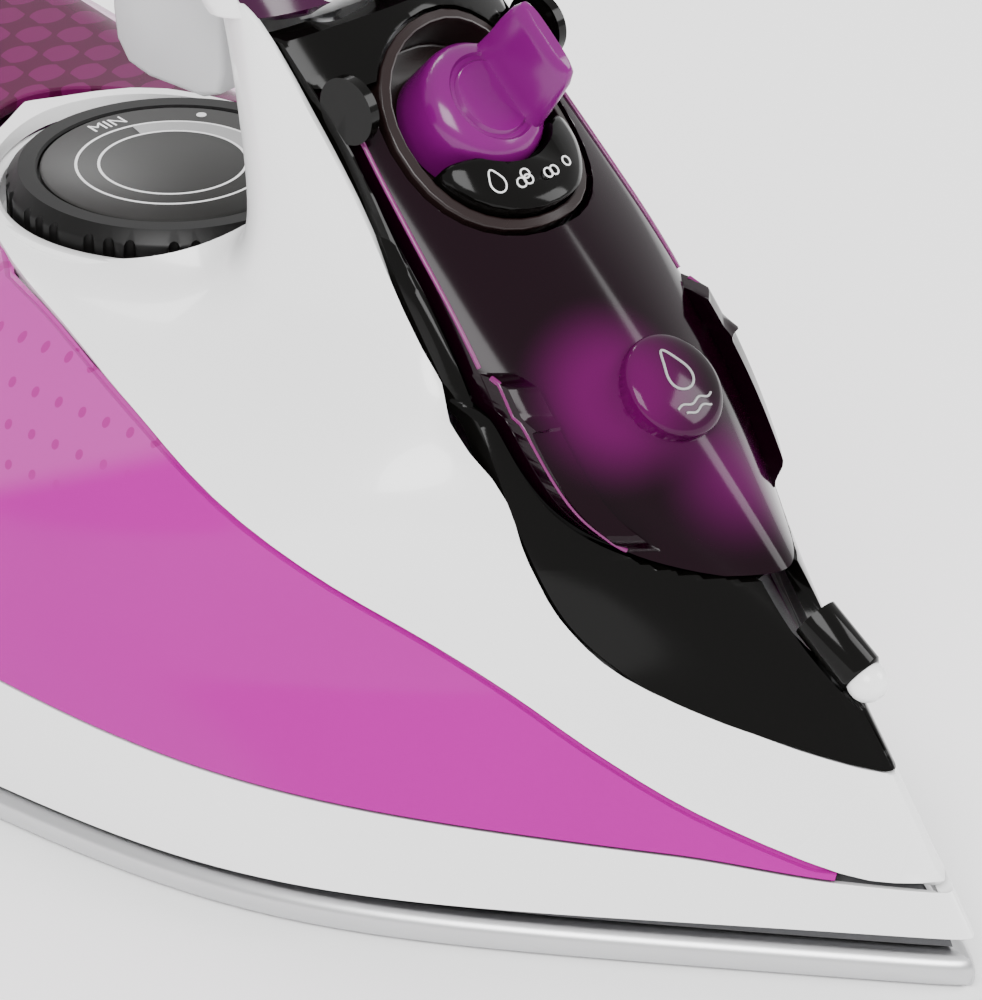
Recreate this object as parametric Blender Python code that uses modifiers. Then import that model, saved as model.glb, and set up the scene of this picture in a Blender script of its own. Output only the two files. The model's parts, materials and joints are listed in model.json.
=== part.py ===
"""Steam iron, modelled as an assembly of separate parts.

Every size below is in millimetres. Places are given by their distance back from the nose of the
soleplate (d), their distance from the centre plane (y) and their height above the table (z).
"""
import math

import bmesh
import bpy
import numpy as np
from mathutils import Matrix, Vector

MM = 0.001

# ---------------------------------------------------------------- driving dimensions
SOLE_LENGTH = 232.0
SOLE_HALF_WIDTH = 60.0        # of the curve that the flanks tend to; the closing tail takes off a little
SOLE_THICKNESS = 5.0
NOSE_SLOPE = 0.67             # tangent of half the nose angle
NOSE_ROUND = 2.0
BODY_TAIL = 240.0             # rear of the body just above the soleplate
TAIL_LEAN = 0.35              # how far the rear leans back for each millimetre up
TAIL_START = 150.0            # where the outline starts to close
BODY_FLOOR = 8.0
DECK_RISE = 65.0              # from the body floor to the deck under the handle
REAR_RISE = 12.0              # how much further the deck rises towards the heel
POST_HALF_WIDTH = 24.5
LOW_SLOPE, LOW_Z = 1.50, 8.0  # the nose line is a steep line that runs over into a flatter one
TOP_SLOPE, TOP_Z = 0.93, 22.0
PROFILE_BLEND = 3.0

SHELL_WALL = 2.4
SKIRT_WALL = 2.2
LID_WALL = 2.2
GAP = 0.35                    # between neighbours that touch in the real iron
FIT = 0.5                     # round a part that slides or turns in another

DIAL_D, DIAL_TOP = 150.0, 77.0
DIAL_RADIUS, DIAL_HEIGHT = 24.2, 7.6
FACE_RADIUS, FACE_DEPTH = 19.2, 1.2
WELL_CLEARANCE = 1.0
WELL_WALL = 2.5
WELL_TOP = 73.7

HANDLE_WALL = 2.6
BUTTON_TRAVEL = 4.0
VALVE_TRAVEL = 3.0

HEEL_D = 277.0                # rearmost point, at the heel of the handle
NOSE_X = HEEL_D / 2           # x of the soleplate's nose, so that the origin is under the middle


# ---------------------------------------------------------------- the outer form
def smooth_step(value, low, high):
    t = np.clip((value - low) / (high - low), 0.0, 1.0)
    return t * t * (3.0 - 2.0 * t)


def nose_line(z):
    """Distance back of the front edge at height z."""
    z = np.asarray(z, float)
    steep = (z - LOW_Z) / LOW_SLOPE
    flat = (z - TOP_Z) / TOP_SLOPE
    reach = (steep + flat) / 2 + np.sqrt(((steep - flat) / 2) ** 2 + PROFILE_BLEND ** 2)
    return np.maximum(reach - 0.35, 0.0)


def deck_rise(d):
    return DECK_RISE + REAR_RISE * smooth_step(d, 160.0, 235.0)


def hull_width(z, d=0.0):
    """Half the width that the section tends to at height z, before the nose and tail close it."""
    rise = np.clip(1.0 - (np.maximum(z - BODY_FLOOR, 0.0) / deck_rise(d)) ** 2, 0.0, 1.0)
    return POST_HALF_WIDTH + (SOLE_HALF_WIDTH - POST_HALF_WIDTH) * np.sqrt(rise)


def bluntness(z):
    """The nose turns from a wedge into a round front between these heights."""
    blend = smooth_step(z, 32.0, 88.0)
    return NOSE_ROUND + 10.0 * blend, NOSE_SLOPE + 0.55 * blend


def tail_at(z):
    return BODY_TAIL + TAIL_LEAN * np.maximum(z - BODY_FLOOR, 0.0)


def closing(d, tail):
    t = np.clip((d - TAIL_START) / (tail - TAIL_START), 0.0, 1.0)
    return (1.0 - t ** 3.0) ** (1.0 / 2.2)


def half_width(d, z, tail=None):
    """Half the hull's width at distance d and height z."""
    radius, slope = bluntness(z)
    back = np.maximum(d - nose_line(z), 0.0)
    reach = np.sqrt(back * (back + 2.0 * radius))
    width = hull_width(z, d)
    t = slope * reach / width
    flank = width * t / (1.0 + t ** 5.5) ** (1.0 / 5.5)
    return flank * closing(d, tail_at(z) if tail is None else tail)


def front_depth(y, z):
    """Distance back of the front surface at (y, z), the inverse of half_width ahead of the tail."""
    radius, slope = bluntness(z)
    width = hull_width(z)
    q = np.clip(np.abs(y) / width, 0.0, 0.999)
    reach = q / (1.0 - q ** 5.5) ** (1.0 / 5.5) * width / slope
    return nose_line(z) + np.sqrt(reach ** 2 + radius ** 2) - radius


def place(d, y, z):
    return Vector((NOSE_X - float(d), float(y), float(z))) * MM


# ---------------------------------------------------------------- modelling helpers
def clear_scene():
    for thing in list(bpy.data.objects):
        bpy.data.objects.remove(thing, do_unlink=True)


def new_collection(name):
    collection = bpy.data.collections.new(name)
    bpy.context.scene.collection.children.link(collection)
    return collection


def material(name, colour, roughness=0.4, metallic=0.0, transmission=0.0):
    made = bpy.data.materials.new(name)
    made.use_nodes = True
    shader = made.node_tree.nodes["Principled BSDF"]
    shader.inputs["Base Color"].default_value = (*colour, 1.0)
    shader.inputs["Roughness"].default_value = roughness
    shader.inputs["Metallic"].default_value = metallic
    shader.inputs["Transmission Weight"].default_value = transmission
    made.diffuse_color = (*colour, 1.0)
    return made


def add_object(name, mesh, finish, collection=None):
    made = bpy.data.objects.new(name, mesh)
    (collection or PARTS).objects.link(made)
    if finish:
        mesh.materials.append(finish)
    return made


def from_bmesh(name, bm, finish, collection=None, smooth=True):
    bmesh.ops.recalc_face_normals(bm, faces=bm.faces)
    mesh = bpy.data.meshes.new(name)
    bm.to_mesh(mesh)
    bm.free()
    if smooth:
        mesh.shade_smooth()
        mesh.set_sharp_from_angle(angle=math.radians(35))
    return add_object(name, mesh, finish, collection)


def catmull_rom(points, count):
    """count points on a smooth curve through the given ones."""
    keys = np.asarray(points, float)
    ends = np.vstack([2 * keys[0] - keys[1], keys, 2 * keys[-1] - keys[-2]])
    result = []
    for u in np.linspace(0.0, len(keys) - 1, count):
        i = min(int(u), len(keys) - 2)
        t = u - i
        a, b, c, e = ends[i:i + 4]
        result.append(0.5 * (2 * b + (c - a) * t + (2 * a - 5 * b + 4 * c - e) * t ** 2
                             + (3 * b - a - 3 * c + e) * t ** 3))
    return np.array(result)


def cosine_steps(count):
    return (1.0 - np.cos(np.linspace(0.0, math.pi, count))) / 2.0


def mirrored(half, closed):
    """Columns of a full grid from those of one side; both ends are on the centre plane if closed."""
    other = half[:, ::-1].copy()
    other[..., 1] *= -1.0
    return np.concatenate([half, other[:, 1:-1] if closed else other[:, 1:]], axis=1)


def grid_normals(grid, closed):
    if closed:
        wide = np.concatenate([grid[:, -1:], grid, grid[:, :1]], axis=1)
        along = (wide[:, 2:] - wide[:, :-2])
    else:
        along = np.gradient(grid, axis=1)
    across = np.gradient(grid, axis=0)
    normal = np.cross(along, across)
    length = np.linalg.norm(normal, axis=2, keepdims=True)
    return normal / np.maximum(length, 1e-9)


def facing_out(grid, normal, inside):
    middle = grid - np.asarray(inside, float)
    return normal if np.sum(middle * normal) > 0 else -normal


def walled(name, grid, wall, finish, closed=False, inside=(120.0, 0.0, 40.0), proud=0.0,
           collection=None, lean=0.0):
    """A shell round the grid of (d, y, z) points, proud of it and wall deep, with its rims closed.

    Where lean is 1 the wall is laid out straight backwards instead of square to the grid.
    """
    normal = facing_out(grid, grid_normals(grid, closed), inside)
    share = np.asarray(lean, float)[..., None]
    way = normal * (1.0 - share) + np.array([-1.0, 0.0, 0.0]) * share
    way = way / np.linalg.norm(way, axis=2, keepdims=True)
    way = way / np.maximum(np.sum(way * normal, axis=2, keepdims=True), 0.45)
    outer = grid + way * np.asarray(proud, float)[..., None]
    inner = grid - way * np.asarray(wall, float)[..., None]
    columns = np.arange(grid.shape[1])
    near = np.minimum(columns, grid.shape[1] - columns) * 0.05 + 0.02
    crossed = np.sign(inner[..., 1]) * np.sign(grid[..., 1]) < 0
    keep = np.abs(grid[..., 1]) > 1e-6
    inner[..., 1] = np.where(crossed & keep, np.sign(grid[..., 1]) * near, inner[..., 1])
    inner[..., 1] = np.where(keep, inner[..., 1], 0.0)
    rows, count = grid.shape[:2]
    bm = bmesh.new()
    layers = [[[bm.verts.new(place(*p)) for p in row] for row in layer] for layer in (outer, inner)]
    last = count if closed else count - 1
    for c in range(last):
        e = (c + 1) % count
        for r in range(rows - 1):
            for layer in layers:
                bm.faces.new((layer[r][c], layer[r][e], layer[r + 1][e], layer[r + 1][c]))
        for r in (0, rows - 1):
            bm.faces.new((layers[0][r][c], layers[0][r][e], layers[1][r][e], layers[1][r][c]))
    if not closed:
        for c in (0, count - 1):
            for r in range(rows - 1):
                bm.faces.new((layers[0][r][c], layers[0][r + 1][c],
                              layers[1][r + 1][c], layers[1][r][c]))
    return from_bmesh(name, bm, finish, collection)


def stacked(name, loops, finish, collection=None, smooth=True):
    """A solid through closed loops of (d, y, z) points, capped at both ends."""
    bm = bmesh.new()
    rings = [[bm.verts.new(place(*p)) for p in loop] for loop in loops]
    for low, high in zip(rings, rings[1:]):
        for i in range(len(low)):
            j = (i + 1) % len(low)
            bm.faces.new((low[i], low[j], high[j], high[i]))
    bm.faces.new(rings[0])
    bm.faces.new(rings[-1])
    return from_bmesh(name, bm, finish, collection, smooth)


def outline(z, inset=0.0, steps=36, tail=None):
    """Closed outline of the hull at height z, moved inwards by inset; an array of (d, y)."""
    end = float(tail_at(z)) if tail is None else tail
    nose = float(nose_line(z))
    d = nose + (end - nose) * cosine_steps(4 * steps + 1)
    y = half_width(d, z, end)
    if inset:
        slope_d, slope_y = np.gradient(d), np.gradient(y)
        length = np.hypot(slope_d, slope_y)
        d, y = d + inset * slope_y / length, y - inset * slope_d / length
        inner = y > 0.0
        first, last = d[inner][0], d[inner][-1]
        d = np.concatenate([[first - 0.4], d[inner], [last + 0.2]])
        y = np.concatenate([[0.0], y[inner], [0.0]])
    pick = cosine_steps(steps + 1)
    far = np.concatenate([[0.0], np.cumsum(np.hypot(np.diff(d), np.diff(y)))])
    d, y = np.interp(pick * far[-1], far, d), np.interp(pick * far[-1], far, y)
    y[0] = y[-1] = 0.0
    return np.column_stack([np.concatenate([d, d[-2:0:-1]]), np.concatenate([y, -y[-2:0:-1]])])


def loop_at(z, inset=0.0, steps=24, tail=None, height=None):
    flat = outline(z, inset, steps, tail)
    return np.column_stack([flat, np.full(len(flat), z if height is None else height)])


def aim(axis):
    """Rotation that turns +Z to the given direction in world space."""
    return Vector((0, 0, 1)).rotation_difference(Vector(axis)).to_matrix().to_4x4()


def turned(name, profile, finish, origin, axis=(0, 0, 1), steps=32, collection=None):
    """A turned piece: profile points (radius, height) run down its outer side, from top to bottom."""
    bm = bmesh.new()
    verts = [bm.verts.new((r * MM, 0.0, h * MM)) for r, h in profile]
    for a, b in zip(verts, verts[1:]):
        bm.edges.new((a, b))
    if profile[0][0] > 0.0:
        bm.edges.new((verts[-1], verts[0]))
    mesh = bpy.data.meshes.new(name)
    bm.to_mesh(mesh)
    bm.free()
    made = add_object(name, mesh, finish, collection)
    screw = made.modifiers.new("Turn", "SCREW")
    screw.steps = screw.render_steps = steps
    screw.use_merge_vertices = True
    screw.merge_threshold = 0.00001
    screw.use_smooth_shade = True
    made.matrix_world = Matrix.Translation(place(*origin)) @ aim(axis)
    return made


def rounded_box(name, size, finish, centre, axis=(0, 0, 1), edge=0.0, collection=None):
    bm = bmesh.new()
    bmesh.ops.create_cube(bm, size=1.0)
    bmesh.ops.scale(bm, vec=Vector(size) * MM, verts=bm.verts)
    made = from_bmesh(name, bm, finish, collection, smooth=False)
    if edge:
        bevel = made.modifiers.new("Edges", "BEVEL")
        bevel.width = edge * MM
        bevel.segments = 2
    made.matrix_world = Matrix.Translation(place(*centre)) @ aim(axis)
    return made


def tube(name, points, radius, finish, resolution=3):
    """A round tube or wire along (d, y, z) points, with filled ends."""
    curve = bpy.data.curves.new(name, "CURVE")
    curve.dimensions = "3D"
    curve.bevel_depth = radius * MM
    curve.bevel_resolution = resolution
    curve.use_fill_caps = True
    spline = curve.splines.new("POLY")
    spline.points.add(len(points) - 1)
    for point, at in zip(spline.points, points):
        point.co = (*place(*at), 1.0)
    return add_object(name, curve, finish)


def boolean(target, other, operation):
    step = target.modifiers.new(other.name, "BOOLEAN")
    step.operation = operation
    step.object = other
    return target


def cut(target, cutter):
    return boolean(target, cutter, "DIFFERENCE")


def joined(target, helper):
    return boolean(target, helper, "UNION")


def cutter_of(made):
    """Marks an object as a helper that the model is cut with, or joined from."""
    made.hide_render = True
    made.display_type = "WIRE"
    return made


# ---------------------------------------------------------------- lines on the hull
TANK_LINE = [(5.3, 14.9), (15.6, 15.2), (32.6, 21.0), (46.3, 27.7), (60.2, 35.9), (76.0, 46.0),
             (91.0, 55.0), (110.0, 62.3), (135.0, 69.0), (154.0, 72.1)]
DECK_LINE = [(154.0, 30.0, 72.1), (172.0, 19.0, 75.5), (181.0, 0.0, 77.0)]
COVER_EDGE = [(28.6, 0.4), (29.6, 4.0), (31.7, 8.7), (34.2, 13.4), (38.0, 17.9), (45.2, 22.2),
              (55.0, 24.4), (66.0, 24.9), (78.0, 23.4), (94.0, 22.4), (104.0, 21.3), (119.0, 21.0)]
LID_EDGE = [(51.6, 0.0), (52.3, 6.0), (53.4, 11.0), (55.4, 15.6), (58.6, 19.2), (63.0, 21.4),
            (70.0, 22.3), (79.0, 21.9), (89.0, 21.1), (98.0, 20.2), (104.0, 19.4)]
LID_TOP, LID_LOW = 109.4, 54.8
LID_RECESS, LID_EDGE_GAP = 3.1, 2.6
RING_CENTRE_Z, RING_HALF_WIDTH, RING_HALF_HEIGHT = 106.0, 15.5, 15.0
COVER_TOP = 117.0             # height at which the front cover runs over into the handle
COVER_DROP = 2.4              # how much lower its top edge is at the sides

FILLER_Z, FILLER_RADIUS, BOSS_RADIUS = 73.0, 9.0, 7.8
NECK_WALL = 2.0
PAD_DEPTH = 4.8               # of the lid's inner pad under its surface
NECK_DEPTH = 6.6              # of the neck's rim under the lid's surface
LEVER_Z = 105.0               # height at which the lever's axis leaves the front
DRUM_RADIUS, DRUM_DEPTH, DRUM_RISE = 9.6, 5.0, 2.2
POCKET_DEPTH = 8.0
VALVE_D = 97.0
BUTTON_D, BUTTON_Y = 114.0, 7.6
BUTTON_HALF_LENGTH, BUTTON_HALF_WIDTH = 8.5, 6.3
PUMP_D, PUMP_RADIUS, PUMP_LOW, PUMP_TOP = 112.5, 4.6, 92.0, 110.0
STEM_RADIUS = 1.6
GLAND_D, GLAND_Z = 264.5, 117.5

# Handle sections: (top d, top z, underside d, underside z, half width), from the post to the heel
HANDLE = [(104.4, 119.0, 128.5, 113.0, 21.0), (117.0, 130.2, 135.0, 117.0, 20.0),
          (132.0, 139.5, 144.0, 119.5, 18.6), (150.0, 146.0, 155.0, 120.8, 17.6),
          (175.0, 149.6, 176.0, 121.3, 17.0), (205.0, 149.0, 203.0, 120.5, 17.0),
          (233.0, 142.5, 224.0, 115.0, 18.0), (256.0, 128.5, 235.0, 104.0, 20.0),
          (271.5, 108.0, 239.0, 94.0, 22.0), (269.8, 92.0, 236.0, 88.5, 22.5),
          (267.4, 85.9, 234.0, 85.9, 20.5)]
TOP_ANGLE = 78.0              # how far round the handle the dark top reaches from its crest
FRAME_END, GRIP_END = 2.3, 7.55     # sections at which the button frame and the grip end
SPLIT = 0.03                  # half the seam between handle pieces, as a share of a section's step


def tank_line(d):
    line = catmull_rom(TANK_LINE, 120)
    return np.interp(d, line[:, 0], line[:, 1])


def cover_half_width(z):
    line = catmull_rom(COVER_EDGE, 120)
    return np.interp(z, line[:, 0], line[:, 1])


def cover_reach(z):
    """The cover stops short of its edge by the gap, and by the shell's own wall where that is round."""
    return np.maximum(cover_half_width(z) - 0.9 - 1.1 * smooth_step(z, 84.0, 98.0), 0.35)


def lid_half_width(z):
    line = catmull_rom(LID_EDGE, 120)
    return np.interp(z, line[:, 0], line[:, 1])


def skirt_top(d):
    return 13.9 + smooth_step(d, 16.0, 36.0) + 8.0 * (np.clip(d, 0.0, TAIL_START) / 130.0) ** 1.4


def skirt_bottom(d):
    return 8.2 - 1.6 * smooth_step(d, 0.0, 110.0)


def deck_edge(d):
    """Height of the tank's top edge: the tank line in front, just under the deck at the rear."""
    return np.where(d < 154.0, tank_line(d) - 1.7, BODY_FLOOR + deck_rise(d) - 1.8)


def band(lower, upper, rows, columns, start=None):
    """Half grid of hull points between two heights given as functions of d, nose (or start) to tail."""
    grid = np.zeros((rows, columns, 3))
    s = cosine_steps(columns)
    for r, v in enumerate(np.linspace(0.0, 1.0, rows)):
        z = np.full(columns, 20.0)
        for _ in range(12):
            nose = nose_line(z) if start is None else start
            d = nose + (tail_at(z) - nose) * s
            z = lower(d) + (upper(d) - lower(d)) * v
        y = half_width(d, z)
        y[-1] = 0.0
        if start is None:
            y[0] = 0.0
        grid[r] = np.column_stack([d, y, z])
    return grid


def surface(y, z, depth=0.0):
    """(d, y, z) on the round front, moved inwards by depth along its normal."""
    at = np.array([front_depth(y, z), y, z])
    return at - front_normal(y, z) * depth


def front_normal(y, z):
    step = 0.05
    dy = (front_depth(y + step, z) - front_depth(y - step, z)) / (2 * step)
    dz = (front_depth(y, z + step) - front_depth(y, z - step)) / (2 * step)
    normal = np.array([-1.0, float(dy), float(dz)])
    return normal / np.linalg.norm(normal)


def world_axis(direction):
    """A direction in (d, y, z) turned into world space, where x runs forwards."""
    return (-float(direction[0]), float(direction[1]), float(direction[2]))


def handle_section(u, angles, inset=0.0):
    """Points of the handle's section u: angle 0 is the top, 180 degrees the underside."""
    keys = catmull_rom(HANDLE, 20 * (len(HANDLE) - 1) + 1)
    position = u * 20.0
    top_d, top_z, low_d, low_z, width = [np.interp(position, np.arange(len(keys)), keys[:, i])
                                         for i in range(5)]
    middle = np.array([(top_d + low_d) / 2, (top_z + low_z) / 2])
    up = np.array([top_d, top_z]) - middle
    reach = np.hypot(*up)
    up = up / reach
    cosine, sine = np.cos(angles), np.sin(angles)
    along = np.sign(cosine) * np.abs(cosine) ** 0.85 * (reach - inset)
    across = np.sign(sine) * np.abs(sine) ** 0.85 * (width - inset)
    return np.column_stack([middle[0] + up[0] * along, across, middle[1] + up[1] * along])


def handle_grid(first, last, rows, low_angle, high_angle, columns):
    angles = np.radians(np.linspace(low_angle, high_angle, columns))
    return np.array([handle_section(u, angles) for u in np.linspace(first, last, rows)])


def lid_recess(y, z):
    """How deep the front cover is set back at (y, z) to take the lid."""
    margin = np.minimum(lid_half_width(z) - np.abs(y), LID_TOP - z)
    return LID_RECESS * np.clip(margin / 0.9 + 0.1, 0.0, 1.0)


# ---------------------------------------------------------------- soleplate and heater
def make_soleplate():
    levels = [(0.0, 3.0), (0.6, 1.1), (1.8, 0.1), (3.4, 0.1), (4.5, 0.9), (SOLE_THICKNESS, 2.4)]
    loops = [loop_at(0.0, inset, tail=SOLE_LENGTH, height=z) for z, inset in levels]
    plate = stacked("soleplate", loops, SOLE_METAL)
    holes = bmesh.new()
    for side in (-1, 1):
        for d in np.arange(36.0, 190.0, 20.0):
            y = side * (float(half_width(d, 0.0, SOLE_LENGTH)) - 13.0)
            turn = Matrix.Translation(place(d, y, SOLE_THICKNESS / 2))
            bmesh.ops.create_cone(holes, cap_ends=True, segments=6, radius1=1.7 * MM,
                                  radius2=1.7 * MM, depth=3 * SOLE_THICKNESS * MM, matrix=turn)
    return cut(plate, cutter_of(from_bmesh("steam_holes", holes, None, HELPERS, smooth=False)))


def make_heater():
    top = 19.2
    levels = [(SOLE_THICKNESS + GAP, 3.0), (8.0, 3.2), (top, 4.8)]
    block = stacked("heater_block", [loop_at(z, inset, tail=SOLE_LENGTH) for z, inset in levels], CASTING)
    chamber = stacked("chamber", [loop_at(top, 12.0, 20, SOLE_LENGTH - 6.0, z) for z in (11.0, top + 4.0)],
                      None, HELPERS, smooth=False)
    cut(block, cutter_of(chamber))
    route = [(207.0, 27.0, 31.0), (205.0, 27.0, 22.0), (200.0, 27.0, 16.5), (192.0, 27.5, 15.4),
             (160.0, 32.0, 15.4), (125.0, 31.0, 15.4), (95.0, 25.0, 15.4), (72.0, 14.0, 15.4),
             (63.0, 6.0, 15.4)]
    ends = catmull_rom(route, 18)
    other = ends[::-1] * np.array([1.0, -1.0, 1.0])
    tube("heating_element", np.concatenate([ends, [(61.0, 0.0, 15.4)], other]), 3.0, STEEL, 1)
    cover_low = top + GAP
    cover = stacked("chamber_cover", [loop_at(top, 9.0, 24, SOLE_LENGTH - 3.0, z)
                                      for z in (cover_low, cover_low + 1.8)], STEEL, smooth=False)
    for side, name in ((1, "left"), (-1, "right")):
        hole = turned("terminal_hole_" + name, [(0, 6), (4.4, 6), (4.4, -6), (0, -6)], None,
                      (203.6, side * 27.0, cover_low), steps=14, collection=HELPERS)
        cut(cover, cutter_of(hole))
    return block


# ---------------------------------------------------------------- lower body
def make_skirt():
    grid = mirrored(band(skirt_bottom, skirt_top, 3, 25), closed=True)
    return walled("skirt", grid, SKIRT_WALL, WHITE, closed=True, inside=(120.0, 0.0, 15.0))


def make_tank():
    half = band(lambda d: skirt_top(d) + GAP, lambda d: np.maximum(deck_edge(d), skirt_top(d) + 1.1),
                5, 22, start=19.0)
    return walled("water_tank", mirrored(half, closed=False), SHELL_WALL, TANK, inside=(130.0, 0.0, 40.0))


def make_tank_floor():
    z = 24.2
    floor = stacked("tank_floor", [loop_at(z, 4.2, 26, height=h) for h in (z - 0.8, z + 0.8)], WHITE,
                    smooth=False)
    openings = [("thermostat_hole", 17.0, DIAL_D, 0.0), ("valve_hole", 6.0, VALVE_D, 0.0),
                ("terminal_gap_left", 5.0, 206.0, 27.0), ("terminal_gap_right", 5.0, 206.0, -27.0)]
    for name, radius, d, y in openings:
        hole = turned(name, [(0, 5), (radius, 5), (radius, -5), (0, -5)], None, (d, y, z), steps=16,
                      collection=HELPERS)
        cut(floor, cutter_of(hole))
    return floor


# ---------------------------------------------------------------- main shell
def shell_keys():
    """Cage lines of the white shell: its lower edge, the foot of the post and its upper edge."""
    lower = [(5.3, 0.0, 14.9)] + [(d, None, None) for d in
                                  (15.6, 32.6, 46.3, 60.2, 76.0, 91.0, 110.0, 124.0, 135.0)]
    lower = [(d, float(half_width(d, tank_line(d))) if y is None else y, float(tank_line(d)))
             for d, y, _ in lower] + DECK_LINE
    upper = []
    for z in (28.3, 31.7, 38.0, 45.2, 54.3, 64.7, 77.6, 94.2, 107.3, 118.6):
        y = float(cover_half_width(z)) if z > 29.0 else 0.0
        upper.append((float(front_depth(y, z)), y, z))
    upper += [(124.0, 16.0, 115.6), (127.6, 8.5, 113.6), (128.5, 0.0, 113.0)]
    foot = [(9.5, 0.0, 21.5), (21.0, None, 23.0), (37.0, None, 28.5), (49.0, None, 38.0),
            (59.6, None, 46.5), (70.0, None, 56.5), (81.0, None, 67.0), (92.0, None, 74.0),
            (100.0, None, 75.0), (106.5, 24.4, 75.0), (113.5, 20.0, 75.0), (117.6, 11.0, 75.0),
            (118.6, 0.0, 75.0)]
    foot = [(d, float(half_width(d, z)) if y is None else y, z) for d, y, z in foot]
    return lower, foot, upper


def shell_cage(columns, low_rows, high_rows, rounds):
    lower, foot, upper = [catmull_rom(line, columns) for line in shell_keys()]
    last_hull = 9.0 / 12.0
    rows = []
    for v in np.linspace(0.0, 1.0, low_rows + 1)[:-1]:
        rows.append(lower + (foot - lower) * v)
    for v in np.linspace(0.0, 1.0, high_rows + 1):
        rows.append(foot + (upper - foot) * v)
    grid = np.array(rows)
    u = np.linspace(0.0, 1.0, columns)
    on_hull = half_width(grid[..., 0], grid[..., 2])
    share = 1.0 - smooth_step(u, last_hull - 0.12, last_hull + 0.02)
    grid[..., 1] = grid[..., 1] * (1.0 - share) + on_hull * share
    grid[:, 0, 1] = 0.0
    grid[:, -1, 1] = 0.0
    full = mirrored(grid, closed=True)
    for _ in range(rounds):
        soft = (np.roll(full, 1, axis=1) + np.roll(full, -1, axis=1)) / 4.0
        soft[1:-1] += (full[2:] + full[:-2]) / 4.0
        weight = smooth_step(full[1:-1, :, 2], 60.0, 70.0)[..., None] * 0.8
        full[1:-1] = full[1:-1] * (1.0 - weight) + soft[1:-1] * weight
    return full


def make_main_shell():
    grid = shell_cage(46, 5, 7, 6)
    grid[0, :, 2] += 0.8
    rows, columns = grid.shape[:2]
    near_top = smooth_step(np.arange(rows), rows - 5.0, rows - 1.0)[:, None]
    ahead = 1.0 - smooth_step(grid[-1, :, 0], 76.0, 94.0)[None, :]
    shell = walled("main_shell", grid, SHELL_WALL * (1.0 - 0.5 * near_top), WHITE, closed=True,
                   inside=(100.0, 0.0, 60.0), lean=near_top * ahead)
    floor = DIAL_TOP - DIAL_HEIGHT - GAP
    well = DIAL_RADIUS + WELL_CLEARANCE
    mouth = turned("dial_mouth", [(0, 95), (well + WELL_WALL / 2, 95), (well + WELL_WALL / 2, 61),
                                  (0, 61)], None, (DIAL_D, 0.0, 0.0), steps=34, collection=HELPERS)
    cut(shell, cutter_of(mouth))
    cup = turned("dial_well", [(well, WELL_TOP), (well + WELL_WALL, WELL_TOP), (well + WELL_WALL, floor),
                               (33.2, floor), (33.2, floor - 3.2), (3.8, floor - 3.2), (3.8, floor),
                               (well, floor)], None, (DIAL_D, 0.0, 0.0), steps=34,
                 collection=HELPERS)
    return joined(shell, cutter_of(cup))


def make_rear_deck():
    columns, rows = 15, 8
    share = np.linspace(-1.0, 1.0, columns)
    grid = np.zeros((rows, columns, 3))
    for r, v in enumerate(np.linspace(0.0, 1.0, rows)):
        front = DECK_LINE[-1][0] + 3.2 - 26.0 * share ** 2
        d = front + (233.0 - front) * v
        edge = half_width(d, deck_edge(d) + 0.4) - 3 * GAP
        y = share * edge
        over = np.maximum(np.abs(y) - POST_HALF_WIDTH, 0.0) / (SOLE_HALF_WIDTH - POST_HALF_WIDTH)
        crown = 1.7 * (1.0 - share ** 2)
        z = BODY_FLOOR + deck_rise(d) * np.sqrt(1.0 - over ** 2) + crown
        grid[r] = np.column_stack([d, y, z])
    return walled("rear_deck", grid, SHELL_WALL, DARK_TANK, inside=(200.0, 0.0, 40.0))


class Tilted:
    """A plane square to the centre plane: s runs up and back along it, h out of it."""

    def __init__(self, d, z, run, rise):
        length = math.hypot(run, rise)
        self.middle = (d, z)
        self.along = (run / length, rise / length)
        self.axis = (self.along[1], 0.0, self.along[0])

    def at(self, s, y, h):
        (d, z), (a, b) = self.middle, self.along
        return (d + a * s - b * h, y, z + b * s + a * h)

    def down_to_front(self, s, y):
        """The height h at which (s, y) meets the round front."""
        h = 0.0
        for _ in range(40):
            d, _, z = self.at(s, y, h)
            h += (d - float(front_depth(y, z))) * self.along[1]
        return h

    def prism(self, name, outline_points, low, high):
        loops = [[self.at(s, y, h) for s, y in outline_points] for h in (low, high)]
        return cutter_of(stacked(name, loops, None, HELPERS, smooth=False))


def oval(half_length, half_width_y, count=40, power=1.0, centre=(0.0, 0.0)):
    """Closed outline (s, y); a power below one squares it up."""
    points = []
    for t in np.linspace(0.0, 2 * math.pi, count, endpoint=False):
        c, s = math.cos(t), math.sin(t)
        points.append((centre[0] + half_length * math.copysign(abs(c) ** power, c),
                       centre[1] + half_width_y * math.copysign(abs(s) ** power, s)))
    return points


def pivot(made, at):
    """Moves an object's origin onto a joint's axis without moving its mesh."""
    spot = place(*at)
    made.data.transform(Matrix.Translation(-spot))
    made.location = spot
    return made


HINGE = (96.6, 108.2)         # (d, z) of the lid's hinge
NOZZLE_AXIS = (0.82, 0.0, -0.57)
GLAND_AXIS = (-0.86, 0.0, 0.51)
REAR_AXIS = (-0.985, 0.0, 0.17)
FILLER = Tilted(float(nose_line(FILLER_Z)), FILLER_Z, 1.0, TOP_SLOPE)
LEVER = Tilted(float(nose_line(LEVER_Z)), LEVER_Z, 1.0, TOP_SLOPE)
PRESS = Tilted(BUTTON_D, 128.0, 1.0, 0.0)


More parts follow.
